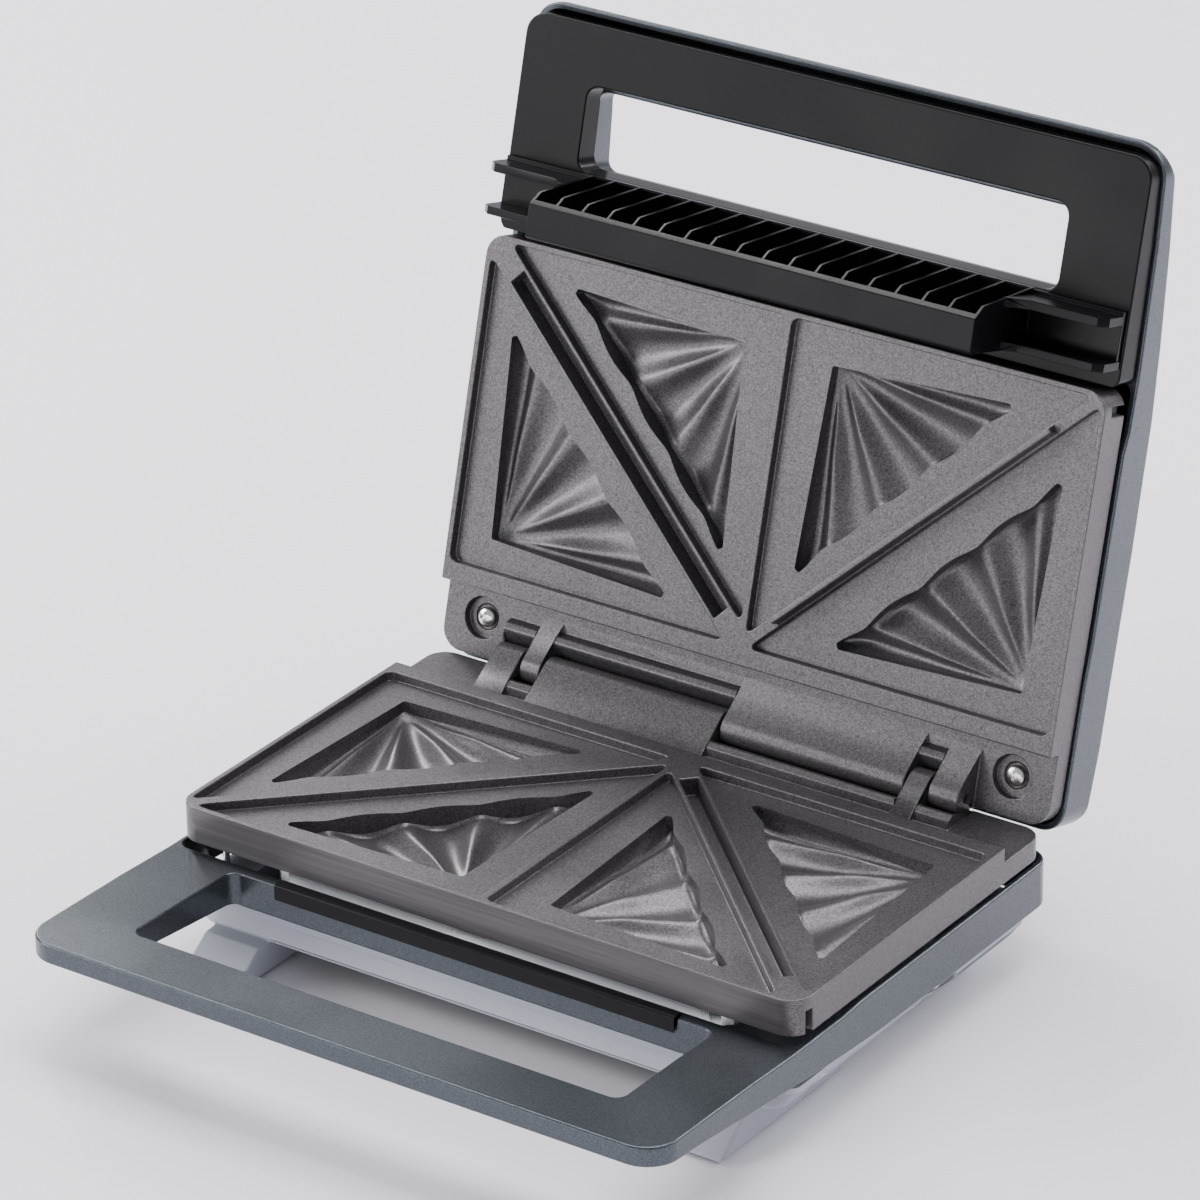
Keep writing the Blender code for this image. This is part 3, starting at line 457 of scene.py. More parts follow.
class Desk:
    """A node tree being wired."""

    def __init__(self, tree: bpy.types.NodeTree) -> None:
        """Takes the tree to wire."""
        self.tree = tree

    def add(
        self, kind: str, inputs: dict[str | int, float | Socket] | None = None, **settings: object,
    ) -> bpy.types.Node:
        """Adds a node, feeds its inputs and sets its properties.

        Args:
            kind: Type of the node.
            inputs: A number or another node's socket for each input, by name or place.
            **settings: Properties by name.

        Returns:
            The node.
        """
        node = self.tree.nodes.new(kind)
        for key, value in settings.items():
            setattr(node, key, value)
        for key, value in (inputs or {}).items():
            if isinstance(value, Socket):
                self.link(value, node.inputs[key])
            else:
                node.inputs[key].default_value = value
        return node

    def link(self, source: Socket, target: Socket) -> None:
        """Joins two sockets."""
        self.tree.links.new(source, target)

    def group(self, tree: bpy.types.NodeTree, vector: Socket, **values: float) -> bpy.types.Node:
        """Places a shared group.

        Args:
            tree: The group.
            vector: Where its pattern is read.
            **values: Numbers for its inputs.

        Returns:
            The group node.
        """
        node = self.add("ShaderNodeGroup", node_tree=tree)
        self.link(vector, node.inputs["Vector"])
        for key, value in values.items():
            node.inputs[key].default_value = value
        return node

    def spread(self, source: Socket, low: float, high: float) -> Socket:
        """Stretches a mask from 0 and 1 to two other values."""
        inputs = {"Value": source, "To Min": low, "To Max": high}
        return self.add("ShaderNodeMapRange", inputs).outputs["Result"]

    def blend(self, first: Socket, second: Socket, share: float | Socket) -> Socket:
        """Mixes two numbers by a share, which is a number or a mask."""
        return self.add("ShaderNodeMix", {0: share, 2: first, 3: second}).outputs[0]

    def tint(self, mask: Socket, dark: Sequence[float], light: Sequence[float]) -> Socket:
        """Mixes a dark and a light colour by a mask."""
        inputs = {0: mask, 6: (*dark, 1.0), 7: (*light, 1.0)}
        return self.add("ShaderNodeMix", inputs, data_type="RGBA").outputs[2]


class Effects:
    """Patterns that several finishes share, each a node group built once."""

    _made: dict[str, bpy.types.NodeTree] = {}

    @classmethod
    def _group(
        cls, name: str, inputs: dict[str, float],
        wire: Callable[[Desk, dict[str, Socket]], tuple[Socket, Socket]],
    ) -> bpy.types.NodeTree:
        """Gives a group with a vector and number inputs, and mask and height outputs.

        Args:
            name: Name of the group.
            inputs: Number inputs and their usual values.
            wire: Wires the inside from the group's inputs, and returns the mask and the height.

        Returns:
            The group, which is built the first time only.
        """
        if name not in cls._made:
            tree = bpy.data.node_groups.new(name, "ShaderNodeTree")
            tree.interface.new_socket("Vector", in_out="INPUT", socket_type="NodeSocketVector")
            for key, value in inputs.items():
                socket = tree.interface.new_socket(key, in_out="INPUT", socket_type="NodeSocketFloat")
                socket.default_value = value
            for key in ("Mask", "Height"):
                tree.interface.new_socket(key, in_out="OUTPUT", socket_type="NodeSocketFloat")
            desk = Desk(tree)
            mask, height = wire(desk, dict(desk.add("NodeGroupInput").outputs.items()))
            desk.add("NodeGroupOutput", {"Mask": mask, "Height": height})
            cls._made[name] = tree
        return cls._made[name]

    @classmethod
    def sparkle(cls) -> bpy.types.NodeTree:
        """Gives fine metal flake: small bright and dark grains over a soft grain.

        Returns:
            The group.
        """

        def wire(desk: Desk, given: dict[str, Socket]) -> tuple[Socket, Socket]:
            """Mixes flake and grain, and swings the mask round its middle.

            Args:
                desk: The desk of the group.
                given: The group's inputs by name.

            Returns:
                The mask and the height.
            """
            place = {"Vector": given["Vector"]}
            flake = desk.add("ShaderNodeTexVoronoi", place | {"Scale": given["Scale"]})
            grey = desk.add("ShaderNodeRGBToBW", {0: flake.outputs["Color"]})
            coarser = desk.add("ShaderNodeMath", {0: given["Scale"], 1: 0.45}, operation="MULTIPLY")
            soft = desk.add("ShaderNodeTexNoise", place | {
                "Scale": coarser.outputs[0], "Detail": 3.0, "Roughness": 0.65})
            mixed = desk.blend(grey.outputs[0], soft.outputs[0], 0.5)
            swing = desk.add("ShaderNodeMath", {0: mixed, 1: 0.5}, operation="SUBTRACT")
            mask = desk.add("ShaderNodeMath", {0: swing.outputs[0], 1: given["Contrast"], 2: 0.5},
                            operation="MULTIPLY_ADD", use_clamp=True)
            return mask.outputs[0], mixed

        return cls._group("sparkle", {"Scale": 1500.0, "Contrast": 0.6}, wire)

    @classmethod
    def brushed(cls) -> bpy.types.NodeTree:
        """Gives long fine lines along x, as a belt or a mill leaves them.

        Returns:
            The group.
        """

        def wire(desk: Desk, given: dict[str, Socket]) -> tuple[Socket, Socket]:
            """Draws a fine grain out along x.

            Args:
                desk: The desk of the group.
                given: The group's inputs by name.

            Returns:
                The mask and the height.
            """
            squeeze = desk.add("ShaderNodeCombineXYZ", {0: given["Stretch"], 1: 1.0, 2: 1.0})
            drawn = desk.add("ShaderNodeVectorMath", {0: given["Vector"], 1: squeeze.outputs[0]},
                             operation="MULTIPLY")
            lines = desk.add("ShaderNodeTexNoise", {
                "Vector": drawn.outputs[0], "Scale": given["Scale"], "Detail": 4.0, "Roughness": 0.7})
            return lines.outputs[0], lines.outputs[0]

        return cls._group("brushed", {"Scale": 900.0, "Stretch": 0.02}, wire)

    @classmethod
    def handling(cls) -> bpy.types.NodeTree:
        """Gives broad soft patches, where a surface is a little duller or shinier.

        Returns:
            The group.
        """

        def wire(desk: Desk, given: dict[str, Socket]) -> tuple[Socket, Socket]:
            """Sharpens a broad soft grain into patches.

            Args:
                desk: The desk of the group.
                given: The group's inputs by name.

            Returns:
                The mask and the height.
            """
            patches = desk.add("ShaderNodeTexNoise", {
                "Vector": given["Vector"], "Scale": given["Scale"], "Detail": 5.0,
                "Roughness": given["Soft"]})
            edged = desk.add("ShaderNodeMapRange", {
                "Value": patches.outputs[0], "From Min": 0.38, "From Max": 0.64},
                interpolation_type="SMOOTHSTEP")
            return edged.outputs[0], patches.outputs[0]

        return cls._group("handling", {"Scale": 22.0, "Soft": 0.4}, wire)


@dataclass(frozen=True)
class Finish:
    """A surface with a fine grain and a soft change of gloss."""

    name: str
    slot: str
    dark: tuple[float, float, float]
    light: tuple[float, float, float]
    metallic: float = 0.0
    gloss: Pair = (0.35, 0.45)
    grain: float = 1500.0
    contrast: float = 0.8
    bump: float = 0.05
    coat: float = 0.0
    lines: float = 0.0
    machined: bool = False
    shine: float = 0.5

    def material(self) -> bpy.types.Material:
        """Builds the material, or gives the one already built."""
        return bpy.data.materials.get(f"{self.name}_finish") or self._build()

    def _build(self) -> bpy.types.Material:
        """Wires grain, patches and, where asked for, brushed lines into one shader.

        Returns:
            The material.
        """
        material = bpy.data.materials.new(f"{self.name}_finish")
        material.use_nodes = True
        desk = Desk(material.node_tree)
        shader = material.node_tree.nodes["Principled BSDF"]
        place = desk.add("ShaderNodeTexCoord").outputs["Object"]
        grain = desk.group(Effects.sparkle(), place, Scale=self.grain, Contrast=self.contrast)
        patches = desk.group(Effects.handling(), place)
        mask, height = grain.outputs["Mask"], grain.outputs["Height"]
        if self.lines > 0.0 or self.machined:
            brushed = desk.group(Effects.brushed(), place)
            share: float | Socket = self.lines
            if self.machined:
                share = desk.add("ShaderNodeAttribute", attribute_name="machined").outputs["Fac"]
            mask = desk.blend(mask, brushed.outputs["Mask"], share)
            height = desk.blend(height, brushed.outputs["Height"], share)
        relief = desk.add("ShaderNodeBump", {"Strength": self.bump, "Distance": 0.0002, "Height": height})
        desk.link(desk.tint(mask, self.dark, self.light), shader.inputs["Base Color"])
        desk.link(desk.spread(patches.outputs["Mask"], *self.gloss), shader.inputs["Roughness"])
        desk.link(relief.outputs[0], shader.inputs["Normal"])
        shader.inputs["Metallic"].default_value = self.metallic
        shader.inputs["Coat Weight"].default_value = self.coat
        shader.inputs["Coat Roughness"].default_value = 0.15
        shader.inputs["Specular IOR Level"].default_value = self.shine
        return material


SHELL = Finish(
    "painted_shell", "painted_shell", (0.032, 0.038, 0.045), (0.092, 0.104, 0.118),
    metallic=0.80, gloss=(0.28, 0.33), grain=2600.0, contrast=1.4, bump=0.05, coat=0.22)
CASTING = Finish(
    "coated_casting", "coated_plate", (0.040, 0.036, 0.039), (0.175, 0.162, 0.171),
    metallic=0.65, gloss=(0.34, 0.40), grain=2500.0, contrast=1.6, bump=0.14, machined=True)
SATIN_BLACK = Finish(
    "satin_black", "black_plastic", (0.0015, 0.0015, 0.0020), (0.0040, 0.0040, 0.0052),
    gloss=(0.22, 0.30), grain=2200.0, bump=0.04, shine=0.16)
COVER_GREY = Finish(
    "cover_grey", "grey_cover", (0.34, 0.36, 0.41), (0.40, 0.42, 0.47),
    gloss=(0.42, 0.52), grain=2000.0, contrast=0.7, bump=0.06)
BRIGHT_STEEL = Finish(
    "bright_steel", "bright_steel", (0.55, 0.53, 0.51), (0.80, 0.78, 0.75),
    metallic=1.0, gloss=(0.16, 0.28), grain=1200.0, contrast=0.6, bump=0.03)
SHEATH = Finish(
    "oxidised_sheath", "element_sheath", (0.16, 0.14, 0.13), (0.36, 0.33, 0.30),
    metallic=0.9, gloss=(0.38, 0.55), grain=900.0, contrast=1.2, bump=0.08, lines=0.3)
SHEET = Finish(
    "rolled_sheet", "reflector_sheet", (0.56, 0.57, 0.58), (0.78, 0.79, 0.80),
    metallic=1.0, gloss=(0.22, 0.36), grain=700.0, contrast=0.7, bump=0.04, lines=0.7)
RUBBER = Finish(
    "dull_rubber", "gland_rubber", (0.012, 0.012, 0.012), (0.030, 0.030, 0.031),
    gloss=(0.70, 0.85), grain=1300.0, contrast=0.9, bump=0.12)
CREAM = Finish(
    "cream_ceramic", "cream_block", (0.52, 0.48, 0.38), (0.68, 0.64, 0.53),
    gloss=(0.45, 0.60), grain=1100.0, bump=0.08)
LIVE = Finish(
    "live_sleeve", "live_sleeve", (0.26, 0.15, 0.06), (0.40, 0.25, 0.11),
    gloss=(0.50, 0.62), grain=1600.0, bump=0.1)
NEUTRAL = Finish(
    "neutral_sleeve", "neutral_sleeve", (0.03, 0.08, 0.26), (0.06, 0.14, 0.40),
    gloss=(0.50, 0.62), grain=1600.0, bump=0.1)
RED_LENS = Finish(
    "red_lens", "red_lens", (0.42, 0.010, 0.008), (0.62, 0.030, 0.020),
    gloss=(0.06, 0.12), grain=600.0, contrast=0.5, bump=0.02, coat=0.4)
GREEN_LENS = Finish(
    "green_lens", "green_lens", (0.010, 0.30, 0.05), (0.030, 0.48, 0.10),
    gloss=(0.06, 0.12), grain=600.0, contrast=0.5, bump=0.02, coat=0.4)


# ------------------------------------------------------------------ cast plate


@dataclass(frozen=True)
class Pocket:
    """A shell pocket: a right-angled triangle whose flutes fan out from the right angle, in mm."""

    square: Pair
    tip_a: Pair
    tip_b: Pair
    depth: float = 8.6
    corner: float = 9.5
    tip: float = 6.5
    flutes: int = 5
    crest: float = 0.46
    softness: float = 0.30
    scallop: float = 1.6
    leg_ramp: float = 11.5
    long_ramp: float = 7.5
    blend: float = 0.20
    columns: int = 110
    rows: int = 52

    def _arc(self, here: Pair, last: Pair, after: Pair, radius: float, share: float) -> Vector:
        """Finds a point on a rounded corner.

        Args:
            here: The sharp corner.
            last: The corner before it.
            after: The corner after it.
            radius: Radius of the rounding.
            share: How far along the rounding, from 0 to 1.

        Returns:
            The point.
        """
        point = Vector(here)
        to_last = (Vector(last) - point).normalized()
        to_after = (Vector(after) - point).normalized()
        half = to_last.angle(to_after) / 2.0
        centre = point + (to_last + to_after).normalized() * radius / math.sin(half)
        start = point + to_last * radius / math.tan(half) - centre
        end = point + to_after * radius / math.tan(half) - centre
        return centre + start.slerp(end, share, start)

    def _near(self, share: float) -> Vector:
        """A point on the rounded right angle, from the leg towards tip_a to the other leg."""
        return self._arc(self.square, self.tip_a, self.tip_b, self.corner, share)

    def _far(self, share: float) -> Vector:
        """A point on the long side, its two rounded tips included.

        Args:
            share: How far along the side, from 0 at tip_a to 1 at tip_b.

        Returns:
            The point.
        """
        ends = 0.11
        if share < ends:
            return self._arc(self.tip_a, self.square, self.tip_b, self.tip, share / ends)
        if share > 1.0 - ends:
            return self._arc(self.tip_b, self.tip_a, self.square, self.tip, (share - 1.0 + ends) / ends)
        start = self._arc(self.tip_a, self.square, self.tip_b, self.tip, 1.0)
        end = self._arc(self.tip_b, self.tip_a, self.square, self.tip, 0.0)
        return start.lerp(end, (share - ends) / (1.0 - 2.0 * ends))

    @staticmethod
    def _away(point: Vector, a: Pair, b: Pair) -> float:
        """Distance of a point from a straight side.

        Args:
            point: The point.
            a: One end of the side.
            b: The other end.

        Returns:
            The distance in mm.
        """
        edge = (Vector(b) - Vector(a)).normalized()
        offset = point - Vector(a)
        return abs(edge.x * offset.y - edge.y * offset.x)

    @staticmethod
    def _ease(t: float) -> float:
        """Goes smoothly from 0 to 1."""
        t = min(max(t, 0.0), 1.0)
        return t * t * (3.0 - 2.0 * t)

    def _swell(self, across: float) -> float:
        """Tells how near the middle of a flute is, from 0 on a soft crest to 1.

        Args:
            across: 0 at one leg to 1 at the other.

        Returns:
            How near the middle of its flute the place is.
        """
        wave = math.sin(math.pi * self.flutes * across)
        soft = math.hypot(wave, self.softness) - self.softness
        return soft / (math.hypot(1.0, self.softness) - self.softness)

    def _depth(self, point: Vector, along: float, swell: float) -> float:
        """Finds the depth under the sunk floor.

        Args:
            point: x and forward place in mm.
            along: 0 at the right angle to 1 at the long side.
            swell: 0 on a crest to 1 in the middle of a flute.

        Returns:
            The depth in mm.
        """
        sides = (
            self._away(point, self.square, self.tip_a) / self.leg_ramp,
            self._away(point, self.square, self.tip_b) / self.leg_ramp,
            (self._away(point, self.tip_a, self.tip_b) + self.scallop * (swell - 0.5)) / self.long_ramp,
        )
        nearest = -self.blend * math.log(sum(math.exp(-side / self.blend) for side in sides))
        fan = self._ease((along - 0.06) / 0.50)
        slope = 0.66 + 0.34 * self._ease(along / 0.80)
        return self.depth * self._ease(nearest) * slope * (1.0 - self.crest * (1.0 - swell) * fan)

    def surface(self, along: float, across: float) -> Vector:
        """Finds a point of the pocket's skin.

        Args:
            along: 0 at the right angle to 1 at the long side.
            across: 0 at one leg to 1 at the other.

        Returns:
            x, forward place and height under the sunk floor, in mm.
        """
        swell = self._swell(across)
        outward = Vector(self.tip_b) - Vector(self.tip_a)
        outward = Vector((outward.y, -outward.x)).normalized()
        if outward.dot(Vector(self.tip_a) - Vector(self.square)) < 0.0:
            outward = -outward
        calm = min(1.0, 9.0 * across, 9.0 * (1.0 - across))
        far = self._far(across) + outward * self.scallop * (swell - 0.5) * calm
        near = self._near(across)
        leg_a = self._near(0.0).lerp(self._far(0.0), along)
        leg_b = self._near(1.0).lerp(self._far(1.0), along)
        mixed = self._near(0.0).lerp(self._near(1.0), across).lerp(
            self._far(0.0).lerp(self._far(1.0), across), along)
        point = near.lerp(far, along) + leg_a.lerp(leg_b, across) - mixed
        on_rim = along in (0.0, 1.0) or across in (0.0, 1.0)
        depth = 0.0 if on_rim else self._depth(point, along, swell)
        return Vector((point.x, point.y, -depth))

    def cutter(self, side: Side, floor: float) -> Solid:
        """Makes the body that sinks this pocket into a plate.

        Args:
            side: Which bay it is for.
            floor: Height of the sunk floor in mm.

        Returns:
            The cutter.
        """
        solid = Solid("pocket")
        bm = solid.bm
        bmesh.ops.create_grid(bm, x_segments=self.columns, y_segments=self.rows, size=1.0)
        for vert in bm.verts:
            across = min(max((vert.co.x + 1.0) / 2.0, 0.0), 1.0)
            across = 0.45 * (0.5 - 0.5 * math.cos(math.pi * across)) + 0.55 * across
            along = 0.5 - 0.5 * math.cos(math.pi * min(max((vert.co.y + 1.0) / 2.0, 0.0), 1.0))
            across, along = (round(share, 9) for share in (across, along))
            skin = self.surface(along, across)
            vert.co = Vector((skin.x * side.value, -skin.y, floor - 0.06 + skin.z)) * MM
        rim = [edge for edge in bm.edges if edge.is_boundary]
        lifted = bmesh.ops.extrude_edge_only(bm, edges=rim)["geom"]
        moved = [item for item in lifted if isinstance(item, bmesh.types.BMVert)]
        for vert in moved:
            vert.co.z = (floor + 1.5) * MM
        bmesh.ops.contextual_create(bm, geom=[e for e in bm.edges if e.is_boundary])
        bmesh.ops.recalc_face_normals(bm, faces=bm.faces)
        return solid


@dataclass
class Casting:
    """The cast plate: two bays, one with a ridge and one with a groove, and half the hinge. In mm."""

    half_x: float = 125.0
    back_v: float = -3.6
    front_v: float = 146.8
    corner: float = 8.0
    seam: float = 0.15
    skirt: float = 13.2
    step_v: float = 21.9
    step_w: float = 5.5
    bay_x: Pair = (1.3, 122.8)
    bay_v: Pair = (28.7, 144.6)
    recess: float = 3.6
    cell_corner: float = 3.0
    diagonal: tuple[Pair, Pair] = ((1.3, 30.2), (122.8, 145.2))
    ridge_base: float = 2.2
    ridge_crest: float = 0.8
    ridge_rise: float = 3.85
    ridge_x: Pair = (12.7, 107.6)
    groove_half: float = 3.4
    groove_land: float = 1.5
    groove_depth: float = 6.8
    barrel: float = 6.0
    clearance: float = 6.7
    arm_v: float = 17.0
    bore: float = 1.68
    full: tuple[Pair, ...] = ((-96.0, -84.5), (-74.5, -0.5), (75.5, 83.5))
    hollow: tuple[Pair, ...] = ((-84.5, -74.5), (-0.5, 75.5), (83.5, 97.0))
    lip: tuple[Corner, ...] = (
        (14.6, -7.0, 0.0), (13.6, -5.4, 0.6), (12.6, -2.4, 1.1), (10.6, -1.1, 1.1), (8.4, -1.6, 0.0),
        (2.0, -4.0, 0.0), (2.0, -7.0, 0.0))
    arm_low: float = -9.0
    arm_turn_deg: float = 232.0
    way: Pair = (22.0, 14.0)
    bore_x: Pair = (58.0, 98.0)
    screw: Pair = (109.0, 10.5)
    seat_radii: Pair = (7.5, 4.6)
    seat_deep: Pair = (3.0, 3.5)
    notch_v: Pair = (138.2, 141.6)
    notch_deep: float = 3.0
    notch_top: float = -5.0
    rounding: float = 0.45
    front_pocket: Pocket = Pocket((9.2, 139.8), (102.1, 139.8), (9.2, 44.1))
    back_pocket: Pocket = Pocket((117.2, 30.9), (117.2, 126.7), (21.1, 30.9))

    def _beside(self, share: float, offset: float) -> Vector:
        """A point beside the diagonal, at a share of its length.

        Args:
            share: How far along the diagonal, from 0 to 1.
            offset: Distance from it towards the handle, in mm.

        Returns:
            The point.
        """
        a, b = Vector(self.diagonal[0]), Vector(self.diagonal[1])
        run = (b - a).normalized()
        return a.lerp(b, share) + Vector((-run.y, run.x)) * offset

    def _cell(self, front: bool, band: float, side: Side) -> Solid:
        """Makes the cutter of one sunk triangle.

        Args:
            front: True for the triangle by the handle.
            band: Half the width left standing along the diagonal.
            side: Which bay.

        Returns:
            The cutter.
        """
        offset = band if front else -band
        a, b = self._beside(0.0, offset), self._beside(1.0, offset)
        slope = (b.y - a.y) / (b.x - a.x)
        x, v = (self.bay_x[0], self.bay_v[1]) if front else (self.bay_x[1], self.bay_v[0])
        corners = (
            (x, v, self.cell_corner),
            (a.x + (v - a.y) / slope, v, self.cell_corner / 2),
            (x, a.y + slope * (x - a.x), self.cell_corner / 2),
        )
        solid = Solid.slab("cell", corners, -self.recess, 3.0, steps=6)
        return solid.mirrored() if side is Side.LEFT else solid

    def _diagonal_bar(self, run: Pair, low: Pair, high: Pair, side: Side) -> Solid:
        """Makes a tapered bar along the diagonal.

        Args:
            run: First and last x.
            low: Half width and height at the bottom.
            high: Half width and height at the top.
            side: Which bay.

        Returns:
            The bar.
        """
        first, last = self.diagonal[0][0], self.diagonal[1][0]
        shares = [(x - first) / (last - first) for x in run]
        feet = [
            self._beside(shares[0], low[0]), self._beside(shares[0], -low[0]),
            self._beside(shares[1], -low[0]), self._beside(shares[1], low[0]),
        ]
        solid = Solid.slab("bar", [(p.x, p.y, 0.0) for p in feet], low[1], high[1])
        middle = [self._beside(s, 0.0) for s in shares]
        axis = (middle[1] - middle[0]).normalized()
        for vert in solid.bm.verts:
            if abs(vert.co.z - high[1] * MM) > 1e-6:
                continue
            here = Vector((vert.co.x, -vert.co.y)) / MM - middle[0]
            on_line = axis * here.dot(axis)
            pulled = middle[0] + on_line + (here - on_line) * high[0] / low[0]
            vert.co.x, vert.co.y = pulled.x * MM, -pulled.y * MM
        return solid.mirrored() if side is Side.LEFT else solid

    def _hinge_bar(self, run: Pair, full: bool) -> Solid:
        """Makes one length of the hinge strip.

        Args:
            run: First and last x.
            full: True for an arm with its barrel, False for the space that clears the other half's arm.

        Returns:
            The length.
        """
        slope = math.atan2(4.46 + self.step_w, self.arm_v - 4.0)
        touch = math.pi / 2.0 - slope
        if not full:
            near = (self.clearance * math.cos(touch), -self.clearance * math.sin(touch))
            end, top = self.way
            far = (end, near[1] + (end - near[0]) * math.tan(slope))
            profile = [(v, w, 0.0) for v, w in ((0.0, 0.0), near, far, (end, top), (0.0, top))]
            return Solid.bar("arm_way", profile, run[0], run[1])
        steps = 34
        turns = [touch + (math.radians(self.arm_turn_deg) - touch) * k / steps for k in range(steps + 1)]
        profile = [(self.arm_v, -self.step_w, 0.0)]
        profile += [(self.barrel * math.cos(t), self.barrel * math.sin(t), 0.0) for t in turns]
        profile += [(self.back_v, self.arm_low, 0.0), (self.arm_v, self.arm_low, 0.0)]
        return Solid.bar("arm", profile, run[0], run[1])

    def solid(self, name: str, screwed: bool) -> Solid:
        """Builds the whole casting.

        Args:
            name: Name of the body.
            screwed: True to sink two screw seats into the hinge strip.

        Returns:
            The casting, in the frame of the half below.
        """
        body = Solid.plate(name, self.half_x, (self.back_v, self.front_v), (self.corner, self.corner),
                           (-self.skirt, -self.seam), steps=12)
        body.cut(Solid.block("step", (-200.0, 200.0), (-20.0, self.step_v), (-self.step_w, 10.0)))
        for side in Side:
            band = self.groove_half + self.groove_land if side is Side.RIGHT else self.ridge_base
            body.cut(self._cell(True, band, side), self._cell(False, band, side))
        body.add(self._diagonal_bar(
            self.ridge_x, (self.ridge_base - 0.1, -self.recess - 1.0),
            (self.ridge_crest, self.ridge_rise), Side.LEFT))
        body.cut(self._diagonal_bar(
            (self.ridge_x[0] - 3.0, self.ridge_x[1] + 3.0), (self.groove_half - 0.6, -self.groove_depth),
            (self.groove_half + 0.2, 2.0), Side.RIGHT))
        for run in self.hollow:
            body.add(Solid.bar("lip", self.lip, run[0] - 0.2, run[1] + 0.2, steps=5))
            body.cut(self._hinge_bar(run, False), Solid.rod("clear", self.clearance, run[0], run[1], 96))
        for run in self.full:
            body.add(self._hinge_bar(run, True))
        for side in Side:
            left, right = side.span(*self.bore_x)
            body.cut(Solid.rod("bore", self.bore, left, right, 24))
        for side in Side:
            if screwed:
                x, v = side.value * self.screw[0], self.screw[1]
                body.cut(*(Solid.drill(x, v, radius, (-self.step_w - deep, 2.0))
                           for radius, deep in zip(self.seat_radii, self.seat_deep)))
            across = side.span(self.half_x - self.notch_deep, self.half_x + 2.0)
            body.cut(Solid.block("notch", across, self.notch_v, (-20.0, self.notch_top)))
        body.clean()
        body.ease(self.rounding, 3, 44.0, self._eased)
        for side in Side:
            body.cut(self.front_pocket.cutter(side, -self.recess), self.back_pocket.cutter(side, -self.recess))
        self._mark_machined(body)
        return body

    def _eased(self, middle: Vector) -> bool:
        """Tells whether an edge is one that the mould rounds."""
        return middle.z > -self.skirt + 0.5 and abs(middle.x) < self.half_x + 1.0 and not (
            abs(middle.y) < 3.0 and abs(middle.z) < 3.0)

    def _mark_machined(self, body: Solid) -> None:
        """Marks the outer walls, which are milled after casting.

        Args:
            body: The casting.
        """
        layer = body.bm.verts.layers.float.new("machined")
        for vert in body.bm.verts:
            x, v, w = vert.co.x / MM, -vert.co.y / MM, vert.co.z / MM
            outside = v > self.front_v - 1.0 or (abs(x) > self.half_x - 1.0 and v > self.step_v)
            vert[layer] = 1.0 if outside and w < -0.2 else 0.0


# ------------------------------------------------------------------ housings


